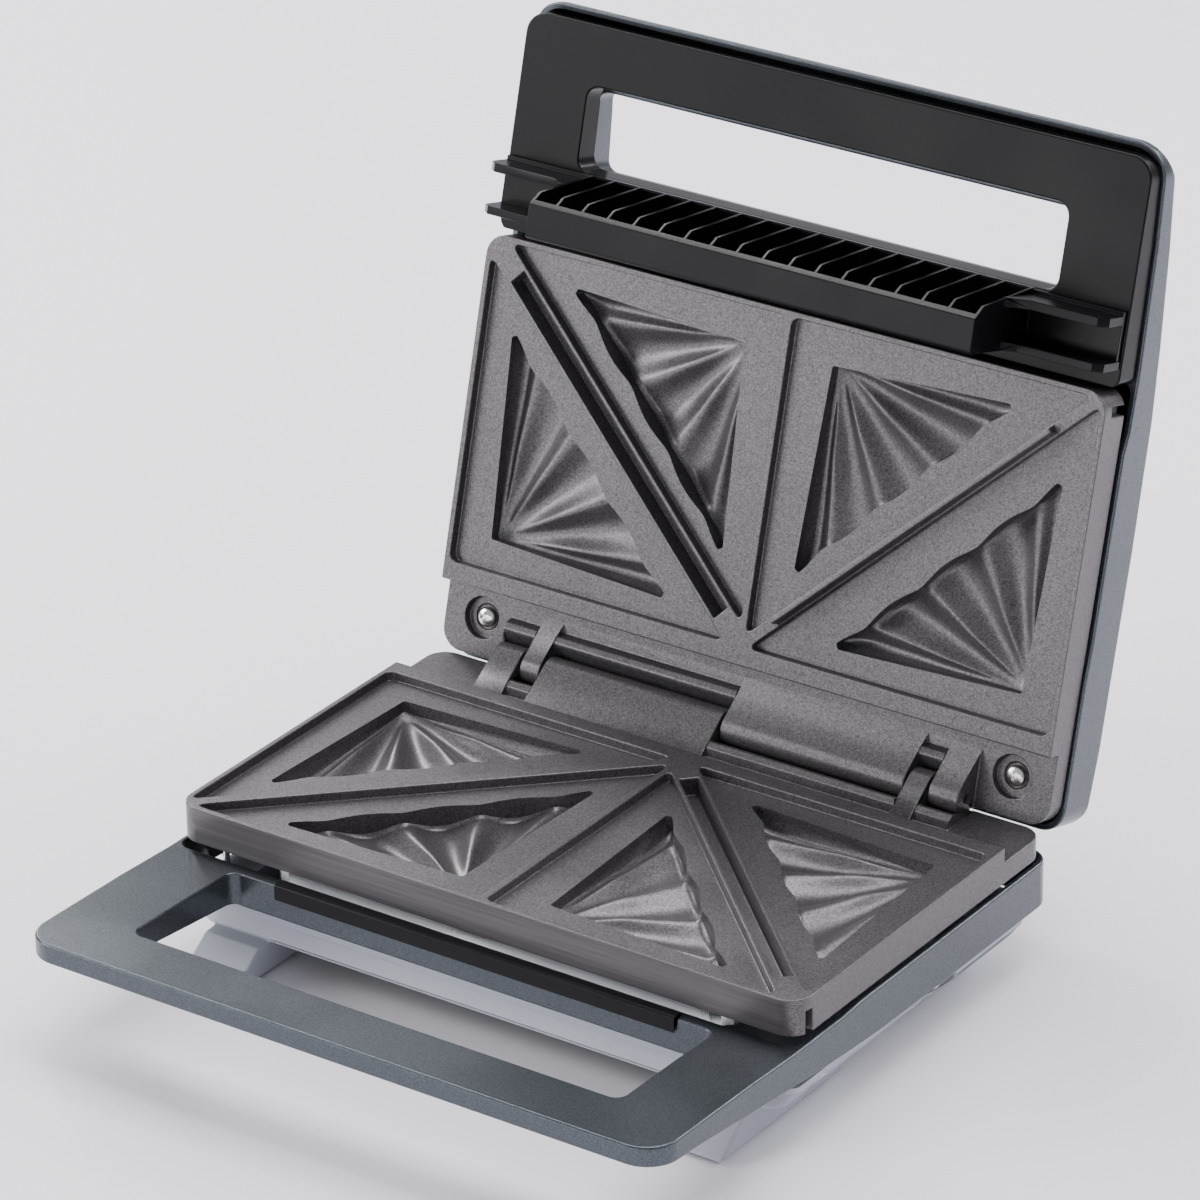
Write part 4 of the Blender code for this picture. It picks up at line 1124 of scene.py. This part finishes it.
@dataclass
class Shells:
    """The painted housing below and the painted lid, which share one outline. In mm."""

    half_x: float = 126.4
    back_v: float = -7.0
    front_v: float = 229.0
    back_corner: float = 9.0
    front_corner: float = 12.0
    wall: float = 2.2
    opening_x: float = 97.0
    lower_v: Pair = (153.1, 206.3)
    upper_v: Pair = (173.0, 201.0)
    strip_x: Pair = (-79.3, 82.3)
    strip_v: Pair = (149.2, 160.0)
    strip_low: float = -18.6
    gland: Pair = (-85.0, -24.0)
    gland_radius: float = 6.3
    lamp: Pair = (9.0, 118.0)
    lamp_radius: float = 3.6
    lower_top: tuple[Pair, ...] = (
        (-12.0, -14.9), (110.0, -14.9), (122.0, -15.7), (150.0, -15.7), (176.0, -14.6), (204.0, -14.0),
        (235.0, -13.5))
    lower_under: tuple[Pair, ...] = (
        (235.0, -20.4), (204.0, -22.4), (176.0, -25.3), (142.0, -28.6), (118.0, -30.4), (100.0, -31.3),
        (75.0, -31.6), (-12.0, -31.6))
    upper_rim: tuple[Pair, ...] = (
        (-12.0, 14.0), (45.0, 14.0), (60.0, 14.9), (125.0, 14.9), (132.0, 16.5), (150.0, 17.0), (195.0, 15.3),
        (222.0, 12.6), (235.0, 9.5))
    upper_outer: tuple[Pair, ...] = (
        (235.0, 14.0), (228.0, 16.7), (219.0, 21.3), (194.0, 25.9), (160.0, 30.4), (135.0, 32.8), (90.0, 33.8),
        (20.0, 33.4), (-2.0, 31.6), (-12.0, 26.0))

    def outline(
        self, inset: float = 0.0, back: float | None = None, front: float | None = None,
    ) -> list[Corner]:
        """Gives the shared outline.

        Args:
            inset: How far inside the outer wall.
            back: Another back edge, or None.
            front: Another front edge, or None.

        Returns:
            The corners with their radii.
        """
        x = self.half_x - inset
        v0 = self.back_v + inset if back is None else back
        v1 = self.front_v - inset if front is None else front
        rb = self.back_corner - inset if back is None else 4.0
        rf = self.front_corner - inset if front is None else 4.0
        return [(-x, v0, rb), (x, v0, rb), (x, v1, rf), (-x, v1, rf)]

    @staticmethod
    def side_view(*edges: Sequence[Pair]) -> list[Corner]:
        """Joins edges into a side profile with sharp corners."""
        return [(v, w, 0.0) for edge in edges for v, w in edge]

    def opening(self, half_x: float, span: Pair, corner: float, low: float, high: float, lean: float) -> Solid:
        """Makes the cutter of a hand opening.

        Args:
            half_x: Half its width.
            span: Its back and front edge.
            corner: Its corner radius.
            low: Lowest height.
            high: Highest height.
            lean: Outward lean of the walls at the low height.

        Returns:
            The cutter.
        """
        cutter = Solid.plate("opening", half_x, span, (corner, corner), (low, high))
        return cutter.taper(low, lean, (0.0, sum(span) / 2.0))

    def lower(self) -> Solid:
        """Builds the painted housing of the base.

        Returns:
            The housing.
        """
        body = Solid.slab("lower_housing_painted", self.outline(), -50.0, 0.0, steps=14)
        body.keep(Solid.bar("side", self.side_view(self.lower_top, self.lower_under), -200.0, 200.0))
        body.cut(Solid.slab("cavity", self.outline(self.wall, front=147.6), -60.0, 10.0))
        hollow = Solid.slab("hollow", self.outline(self.wall, back=145.0), -60.0, 0.0)
        hollow.keep(Solid.bar("ceiling", self.side_view(
            self.lower_top, ((235.0, -50.0), (-12.0, -50.0))), -200.0, 200.0))
        for vert in hollow.bm.verts:
            if vert.co.z > -30.0 * MM:
                vert.co.z -= self.wall * MM
        reach = self.opening_x + self.wall
        hollow.cut(Solid.block(
            "island", (-reach, reach), (self.lower_v[0] - 12.0, self.lower_v[1] + 2.4), (-70.0, 10.0)))
        body.cut(hollow)
        body.cut(self.opening(self.opening_x, self.lower_v, 4.0, -40.0, -5.0, 0.8))
        body.cut(Solid.block("strip_seat", self.strip_x, self.strip_v, (self.strip_low, 0.0)))
        hole = Solid.drill(0.0, 0.0, self.gland_radius, (-25.0, 25.0))
        place = Matrix.Translation(Vector((self.gland[0], 0.0, self.gland[1])) * MM)
        turned = place @ Matrix.Rotation(math.pi / 2, 4, "X")
        bmesh.ops.transform(hole.bm, matrix=turned, verts=hole.bm.verts)
        body.cut(hole)
        body.clean(0.2)
        body.ease(0.9, 4, 50.0, self._outside)
        return body.ease(0.7, 3, 55.0, self._lower_rims)

    def _lower_rims(self, middle: Vector) -> bool:
        """Picks the rims of the hand opening and of the tray under the plate.

        Args:
            middle: Middle of an edge, in mm.

        Returns:
            True where the edge is on one of them.
        """
        top = middle.z > -17.2
        at_opening = abs(middle.x) < self.opening_x + 1.0 and 150.0 < middle.y < self.lower_v[1] + 1.0
        return (top and at_opening) or (top and middle.y < 148.5)

    def upper(self) -> Solid:
        """Builds the painted lid.

        Returns:
            The lid.
        """
        body = Solid.slab("lid_shell_painted", self.outline(), 0.0, 50.0, steps=14)
        body.keep(Solid.bar("side", self.side_view(self.upper_rim, self.upper_outer), -200.0, 200.0))
        for span in ((None, 148.4), (151.0, None)):
            hollow = Solid.slab("hollow", self.outline(self.wall, span[0], span[1]), 0.0, 60.0)
            inner = [(v, w - self.wall) for v, w in self.upper_outer]
            hollow.keep(Solid.bar("roof", self.side_view(((-12.0, 0.0), (235.0, 0.0)), inner), -200.0, 200.0))
            if span[0] is not None:
                reach = self.opening_x + self.wall
                ends = (self.upper_v[0] - self.wall, self.upper_v[1] + self.wall)
                hollow.cut(Solid.block("island", (-reach, reach), ends, (-10.0, 70.0)))
            body.cut(hollow)
        body.cut(self.opening(self.opening_x, self.upper_v, 4.0, 5.0, 40.0, 0.0).taper(40.0, 1.0, (0.0, 187.0)))
        for side in Side:
            body.cut(Solid.drill(side.value * self.lamp[0], self.lamp[1], self.lamp_radius, (25.0, 45.0)))
        body.clean(0.2)
        body.ease(2.6, 6, 40.0, lambda middle: (
            self._outside(middle) and middle.z > self._rim_height(middle.y) + 1.5))
        body.ease(0.8, 3, 50.0, lambda middle: (
            self._outside(middle) and middle.z < self._rim_height(middle.y) + 0.4))
        return body.ease(0.8, 3, 55.0, lambda middle: (
            abs(middle.x) < self.opening_x + 2.0 and self.upper_v[0] - 2.0 < middle.y < self.upper_v[1] + 2.0))

    def _outside(self, middle: Vector) -> bool:
        """Tells whether a point lies on the outer outline.

        Args:
            middle: The point, in mm.

        Returns:
            True where it does.
        """
        radius = self.front_corner if middle.y > 100.0 else self.back_corner
        end = self.front_v - radius if middle.y > 100.0 else self.back_v + radius
        past_x = max(0.0, abs(middle.x) - (self.half_x - radius))
        past_v = max(0.0, middle.y - end if middle.y > 100.0 else end - middle.y)
        return math.hypot(past_x, past_v) > radius - 0.7

    def _rim_height(self, v: float) -> float:
        """Height of the lid's rim at a distance forward.

        Args:
            v: Distance forward in mm.

        Returns:
            The height in mm.
        """
        pairs = zip(self.upper_rim, self.upper_rim[1:])
        for (v0, w0), (v1, w1) in pairs:
            if v0 <= v <= v1:
                return w0 + (w1 - w0) * (v - v0) / (v1 - v0)
        return self.upper_rim[-1][1]


@dataclass
class BlackTrim:
    """The black frame round the lid's handle, the finger guard and the strip on the base. In mm."""

    half_x: float = 125.0
    wall: float = 2.2
    frame_v: Pair = (148.0, 225.0)
    face_w: float = 6.0
    opening_x: float = 96.0
    opening_v: Pair = (174.7, 203.5)
    tray_x: float = 89.0
    tray: tuple[Corner, ...] = (
        (154.5, 5.7, 0.0), (154.5, -32.0, 1.6), (166.7, -32.0, 0.0), (170.5, -27.0, 0.0), (174.2, 3.7, 0.0),
        (174.2, 5.7, 0.0))
    bay_v: Pair = (156.7, 190.0)
    bay_w: Pair = (-30.0, 3.7)
    far_tab: tuple[Pair, ...] = (
        (88.0, 5.2), (88.0, -14.0), (96.0, -8.0), (121.0, -8.0), (124.0, -5.0), (124.0, 5.2))
    near_tab: tuple[Pair, ...] = (
        (88.0, 5.2), (88.0, -13.0), (93.0, -8.0), (121.5, -8.0), (124.5, -5.0), (124.5, 5.2))
    ribs: int = 16
    rib_from: float = -78.9
    rib_pitch: float = 10.45
    rib_thick: float = 1.2
    strip_x: Pair = (-79.0, 82.0)
    strip: tuple[Corner, ...] = (
        (149.5, -18.3, 0.0), (149.5, -14.5, 0.9), (153.9, -14.7, 1.3), (153.9, -20.5, 0.0),
        (153.35, -20.5, 0.0), (153.35, -18.3, 0.0))

    def inner_frame(self, shells: Shells) -> Solid:
        """Builds the frame that lines the handle end of the lid.

        Args:
            shells: The shells, whose rim it meets.

        Returns:
            The frame.
        """
        v0, v1 = self.frame_v
        body = Solid.plate("lid_frame_black", self.half_x, (v0, v1), (3.0, 8.0), (0.0, 40.0), steps=12)
        face = ((235.0, self.face_w), (-12.0, self.face_w))
        rim = [(v, w - 0.3) for v, w in shells.upper_rim]
        body.keep(Solid.bar("side", Shells.side_view(face, rim), -200.0, 200.0))
        hollow = Solid.plate("hollow", self.half_x - self.wall, (v0 + 2.4, v1 - self.wall), (3.0, 6.0),
                             (self.face_w + self.wall, 50.0))
        reach = self.opening_x + self.wall
        ends = (self.opening_v[0] - self.wall, self.opening_v[1] + self.wall)
        hollow.cut(Solid.block("island", (-reach, reach), ends, (0.0, 60.0)))
        body.cut(hollow)
        body.cut(shells.opening(self.opening_x, self.opening_v, 5.0, -5.0, 25.0, 0.9))
        body.clean(0.2)
        return body.ease(0.7, 3, 50.0, lambda middle: middle.z < 9.0 and middle.y > v0 + 0.5)

    def finger_guard(self) -> Solid:
        """Builds the ribbed tray with its two pairs of side tabs.

        Returns:
            The tray.
        """
        t = self.tray_x
        body = Solid.bar("finger_guard_black", self.tray, -t, t, steps=4)
        walls = [-t + self.rib_thick / 2]
        walls += [self.rib_from + k * self.rib_pitch for k in range(self.ribs)]
        walls += [t - self.rib_thick / 2]
        bays = [
            Solid.block("bay", (a + self.rib_thick / 2, b - self.rib_thick / 2), self.bay_v, self.bay_w)
            for a, b in zip(walls, walls[1:])
        ]
        body.cut(bays[0].join(*bays[1:]))
        body.add(Solid.block("flange", (-124.0, 124.0), (155.0, 173.8), (3.6, 5.65)))
        for side in Side:
            for shape, v in ((self.far_tab, (169.2, 172.4)), (self.near_tab, (154.2, 157.1))):
                body.add(self._tab(shape, v, side))
        body.add(Solid.block("lip", (-20.0, 22.0), (153.3, 155.0), (-6.0, 5.2)))
        body.clean(0.2)
        return body.ease(0.28, 2, 50.0)

    @staticmethod
    def _tab(shape: Sequence[Pair], v: Pair, side: Side) -> Solid:
        """Makes one flat side tab.

        Args:
            shape: x and height of each corner on the right.
            v: Nearest and farthest distance forward.
            side: Which side it is on.

        Returns:
            The tab.
        """
        solid = Solid("tab")
        solid.bm.faces.new([solid.bm.verts.new(Vector((x, -v[0], w)) * MM) for x, w in shape])
        solid._thicken(Vector((0.0, v[0] - v[1], 0.0)) * MM)
        return solid.mirrored() if side is Side.LEFT else solid

    def edge_strip(self) -> Solid:
        """Builds the strip over the back edge of the lower hand opening."""
        return Solid.bar("handle_strip_black", self.strip, *self.strip_x, steps=6).ease(0.2, 2, 60.0)


@dataclass
class BottomCover:
    """The light grey cover under the base, with its four feet. In mm."""

    top: float = -31.9
    low: float = -41.7
    wall: float = 2.2
    foot_low: float = -53.0
    pad: Pair = (98.2, 7.3)
    pad_v: Pair = (13.0, 150.0)
    pad_deep: float = 1.4
    screw: Pair = (119.4, 2.2)
    screw_v: Pair = (60.0, 128.0)
    haunch_x: Pair = (106.0, 118.4)
    haunch_v: Pair = (-1.0, 41.0)
    foot_x: float = 87.0
    front_foot_x: float = 109.4
    back_foot_x: float = 107.0
    front_foot: tuple[Corner, ...] = (
        (96.0, -40.6, 0.0), (138.0, -40.6, 0.0), (153.6, -41.7, 2.0), (168.6, -52.4, 0.8), (167.6, -53.0, 0.0),
        (97.6, -53.0, 0.0))
    back_foot: tuple[Corner, ...] = (
        (1.0, -40.6, 0.0), (38.0, -40.6, 0.0), (34.0, -53.0, 0.0), (4.0, -53.0, 0.0))

    def solid(self) -> Solid:
        """Builds the cover, its rim and its feet as one moulding.

        Returns:
            The cover.
        """
        low, top, wall = self.low, self.top, self.wall
        body = Solid.plate("bottom_cover_moulded", 114.0, (4.0, 144.0), (8.0, 8.0), (low, top))
        body.taper(low, -4.0, (0.0, 74.0))
        for side in Side:
            body.add(Solid.block("haunch", side.span(*self.haunch_x), self.haunch_v, (low + 0.2, top - 1.0)))
        body.cut(Solid.plate("inside", 109.0, (8.0, 140.0), (6.0, 6.0), (low + wall, top + 5.0)))
        rim = Solid.plate("rim", 123.6, (-4.2, 147.0), (6.0, 4.0), (top - wall, top))
        rim.cut(Solid.plate("rim_hole", 110.5, (7.5, 140.5), (5.0, 5.0), (-40.0, 0.0)))
        body.add(rim)
        for side in Side:
            for profile, reach in ((self.front_foot, self.front_foot_x), (self.back_foot, self.back_foot_x)):
                body.add(Solid.bar("foot", profile, *side.span(self.foot_x, reach), steps=5))
            for v in self.pad_v:
                body.cut(Solid.drill(
                    side.value * self.pad[0], v, self.pad[1], (-60.0, self.foot_low + self.pad_deep)))
            for v in self.screw_v:
                body.cut(Solid.drill(side.value * self.screw[0], v, self.screw[1], (-50.0, -20.0)))
        body.clean(0.2)
        return body.ease(0.7, 3, 48.0, lambda middle: middle.z < -36.0)


@dataclass
class Fasteners:
    """Screws and pins. In mm."""

    head: float = 3.6
    shank: float = 1.9
    drop: float = 1.9
    long: float = 16.0
    pin: float = 1.6
    pin_x: Pair = (60.0, 94.0)

    def plate_screw(self, name: str, x: float, v: float, top: float) -> Solid:
        """Builds a domed screw with a cross recess.

        Args:
            name: Name of the body.
            x: Place across.
            v: Place forward.
            top: Height of the top of the head.

        Returns:
            The screw.
        """
        under = top - self.drop
        dome = [(self.head * math.cos(a), under + 0.5 + (self.drop - 0.5) * math.sin(a))
                for a in (math.radians(10.0 * k) for k in range(9))]
        body = Solid.turned(name, x, v, [
            (0.0, top - self.long), (self.shank * 0.4, top - self.long), (self.shank, top - self.long + 1.5),
            (self.shank, under), (self.head - 0.1, under), *dome, (0.0, top)], 36)
        slot = Solid.block("slot", (x - 1.8, x + 1.8), (v - 0.42, v + 0.42), (top - 1.25, top + 2.0))
        slot.add(Solid.block("slot", (x - 0.42, x + 0.42), (v - 1.8, v + 1.8), (top - 1.25, top + 2.0)))
        slot.taper(top - 1.25, -0.25, (x, v))
        return body.cut(slot)

    def hinge_pin(self, name: str, side: Side) -> Solid:
        """Builds one hinge pin with rounded ends."""
        return Solid.rod(name, self.pin, *side.span(*self.pin_x), 32).ease(0.3, 3, 60.0)


# ------------------------------------------------------------------ toaster


class Toaster:
    """Puts every piece on its half and dresses the nodes that stay."""

    kept: dict[str, Finish] = {
        "lower_heating_element": SHEATH, "upper_heating_element": SHEATH, "lower_reflector": SHEET,
        "upper_reflector": SHEET, "terminal_block": CREAM, "cord_gland": RUBBER, "thermal_fuse": SHEATH,
        "live_wire": LIVE, "neutral_wire": NEUTRAL, "thermostat": SHEATH, "lamp_lens_power": RED_LENS,
        "lamp_lens_ready": GREEN_LENS, "foot_pad_back_left": RUBBER, "foot_pad_back_right": RUBBER,
        "foot_pad_front_left": RUBBER, "foot_pad_front_right": RUBBER, "cover_screw_back_left": BRIGHT_STEEL,
        "cover_screw_back_right": BRIGHT_STEEL, "cover_screw_front_left": BRIGHT_STEEL,
        "cover_screw_front_right": BRIGHT_STEEL,
    }

    def __init__(self) -> None:
        """Takes the hinge from the frame and the sizes from their classes."""
        self.hinge = Hinge.from_frame()
        self.casting = Casting()
        self.shells = Shells()
        self.trim = BlackTrim()
        self.cover = BottomCover()
        self.fasteners = Fasteners()

    def build(self) -> None:
        """Builds all new pieces and dresses the carried-over ones."""
        base, lid, hinge = Half.BASE, Half.LID, self.hinge
        self.casting.solid("lower_plate_cast", False).finish(base, hinge, CASTING, "lower_plate")
        self.casting.solid("upper_plate_cast", True).finish(
            lid, hinge, CASTING, "upper_plate", turned_over=True)
        self.shells.lower().finish(base, hinge, SHELL, "lower_housing")
        self.shells.upper().finish(lid, hinge, SHELL, "lid_shell")
        self.trim.inner_frame(self.shells).finish(lid, hinge, SATIN_BLACK, "lid_inner_frame")
        self.trim.finger_guard().finish(lid, hinge, SATIN_BLACK, "finger_guard")
        self.trim.edge_strip().finish(base, hinge, SATIN_BLACK, "handle_edge_strip")
        self.cover.solid().finish(base, hinge, COVER_GREY, "bottom_cover")
        for side in Side:
            name = side.name.lower()
            x, v = self.casting.screw
            seat = -self.casting.step_w - self.casting.seat_deep[0]
            top = seat + self.fasteners.drop + 0.3
            self.fasteners.plate_screw(f"upper_plate_screw_{name}_bright", -side.value * x, v, top).finish(
                lid, hinge, BRIGHT_STEEL, f"upper_plate_screw_{name}", turned_over=True)
            self.fasteners.hinge_pin(f"hinge_pin_{name}_bright", side).finish(
                base, hinge, BRIGHT_STEEL, f"hinge_pin_{name}")
        for node, finish in self.kept.items():
            mesh = frame["nodes"][node].data
            mesh.materials.clear()
            mesh.materials.append(finish.material())
            LOG.info("%s keeps its shape and takes %s", node, finish.name)


# ------------------------------------------------------------------ studio


@dataclass
class Studio:
    """A pale floor, soft lights and the camera."""

    hinge: Hinge
    floor_colour: tuple[float, float, float] = (0.88, 0.865, 0.92)
    lens: float = 200.0
    stand: tuple[float, float, float] = (1.13271, -1.68175, 1.05366)
    yaw: float = 0.614
    pitch: float = 0.46
    roll: float = -0.016

    def build(self) -> None:
        """Sets up floor, lights, surroundings and camera."""
        self._floor()
        self._world()
        self._light("overhead", (0.0, 0.45, 1.7), (0.0, 0.05, 0.05), (1.6, 0.8), 34.0)
        self._light("front_left", (-1.4, -0.9, 0.8), (0.0, 0.1, 0.15), (0.8, 1.0), 26.0)
        self._light("low_front", (-0.3, -2.0, 0.35), (0.0, 0.0, 0.02), (2.4, 0.5), 14.0)
        self._light("right_edge", (0.9, 1.3, 1.0), (0.0, 0.0, 0.1), (1.6, 0.12), 22.0)
        self._light("left_edge", (-1.3, 0.9, 1.1), (0.0, 0.0, 0.1), (0.12, 1.6), 22.0)
        self._camera()

    def _floor(self) -> None:
        """Lays the floor."""
        mesh = bpy.data.meshes.new("studio_floor")
        bm = bmesh.new()
        bmesh.ops.create_grid(bm, x_segments=2, y_segments=2, size=9.0)
        bm.to_mesh(mesh)
        bm.free()
        floor = bpy.data.objects.new("studio_floor", mesh)
        bpy.context.scene.collection.objects.link(floor)
        material = bpy.data.materials.new("studio_floor")
        material.use_nodes = True
        desk = Desk(material.node_tree)
        shader = material.node_tree.nodes["Principled BSDF"]
        place = desk.add("ShaderNodeTexCoord").outputs["Object"]
        patches = desk.group(Effects.handling(), place, Scale=0.6)
        darker = tuple(0.985 * c for c in self.floor_colour)
        desk.link(desk.tint(patches.outputs["Mask"], darker, self.floor_colour), shader.inputs["Base Color"])
        shader.inputs["Roughness"].default_value = 0.6
        mesh.materials.append(material)

    def _world(self) -> None:
        """Fills the room with soft pale light."""
        world = bpy.data.worlds.new("studio")
        world.use_nodes = True
        sky = world.node_tree.nodes["Background"]
        sky.inputs["Color"].default_value = (0.80, 0.80, 0.86, 1.0)
        sky.inputs["Strength"].default_value = 0.70
        bpy.context.scene.world = world

    def _light(self, name: str, at: Sequence[float], to: Sequence[float], size: Pair, power: float) -> None:
        """Hangs a soft box.

        Args:
            name: Name of the light.
            at: Where it hangs.
            to: The point that it faces.
            size: Its width and height.
            power: Its power in watts.
        """
        lamp = bpy.data.lights.new(name, "AREA")
        lamp.shape, lamp.size, lamp.size_y, lamp.energy = "RECTANGLE", size[0], size[1], power
        obj = bpy.data.objects.new(name, lamp)
        bpy.context.scene.collection.objects.link(obj)
        obj.location = at
        obj.rotation_euler = (Vector(to) - Vector(at)).to_track_quat("-Z", "Y").to_euler()

    def _camera(self) -> None:
        """Stands the camera in front of the right-hand corner."""
        data = bpy.data.cameras.new("camera")
        data.lens, data.sensor_width = self.lens, 36.0
        data.clip_end = 100.0
        obj = bpy.data.objects.new("camera", data)
        bpy.context.scene.collection.objects.link(obj)
        turn = (
            Matrix.Rotation(self.yaw, 4, "Z")
            @ Matrix.Rotation(math.pi / 2 - self.pitch, 4, "X")
            @ Matrix.Rotation(self.roll, 4, "Z")
        )
        obj.matrix_world = Matrix.Translation(self.hinge.middle + Vector(self.stand)) @ turn
        bpy.context.scene.camera = obj


def main() -> None:
    """Builds the toaster and its studio, and logs each new piece's face count."""
    logging.basicConfig(level=logging.INFO, format="%(name)s %(message)s")
    toaster = Toaster()
    toaster.build()
    Studio(toaster.hinge).build()


if __name__ == "__main__":
    main()
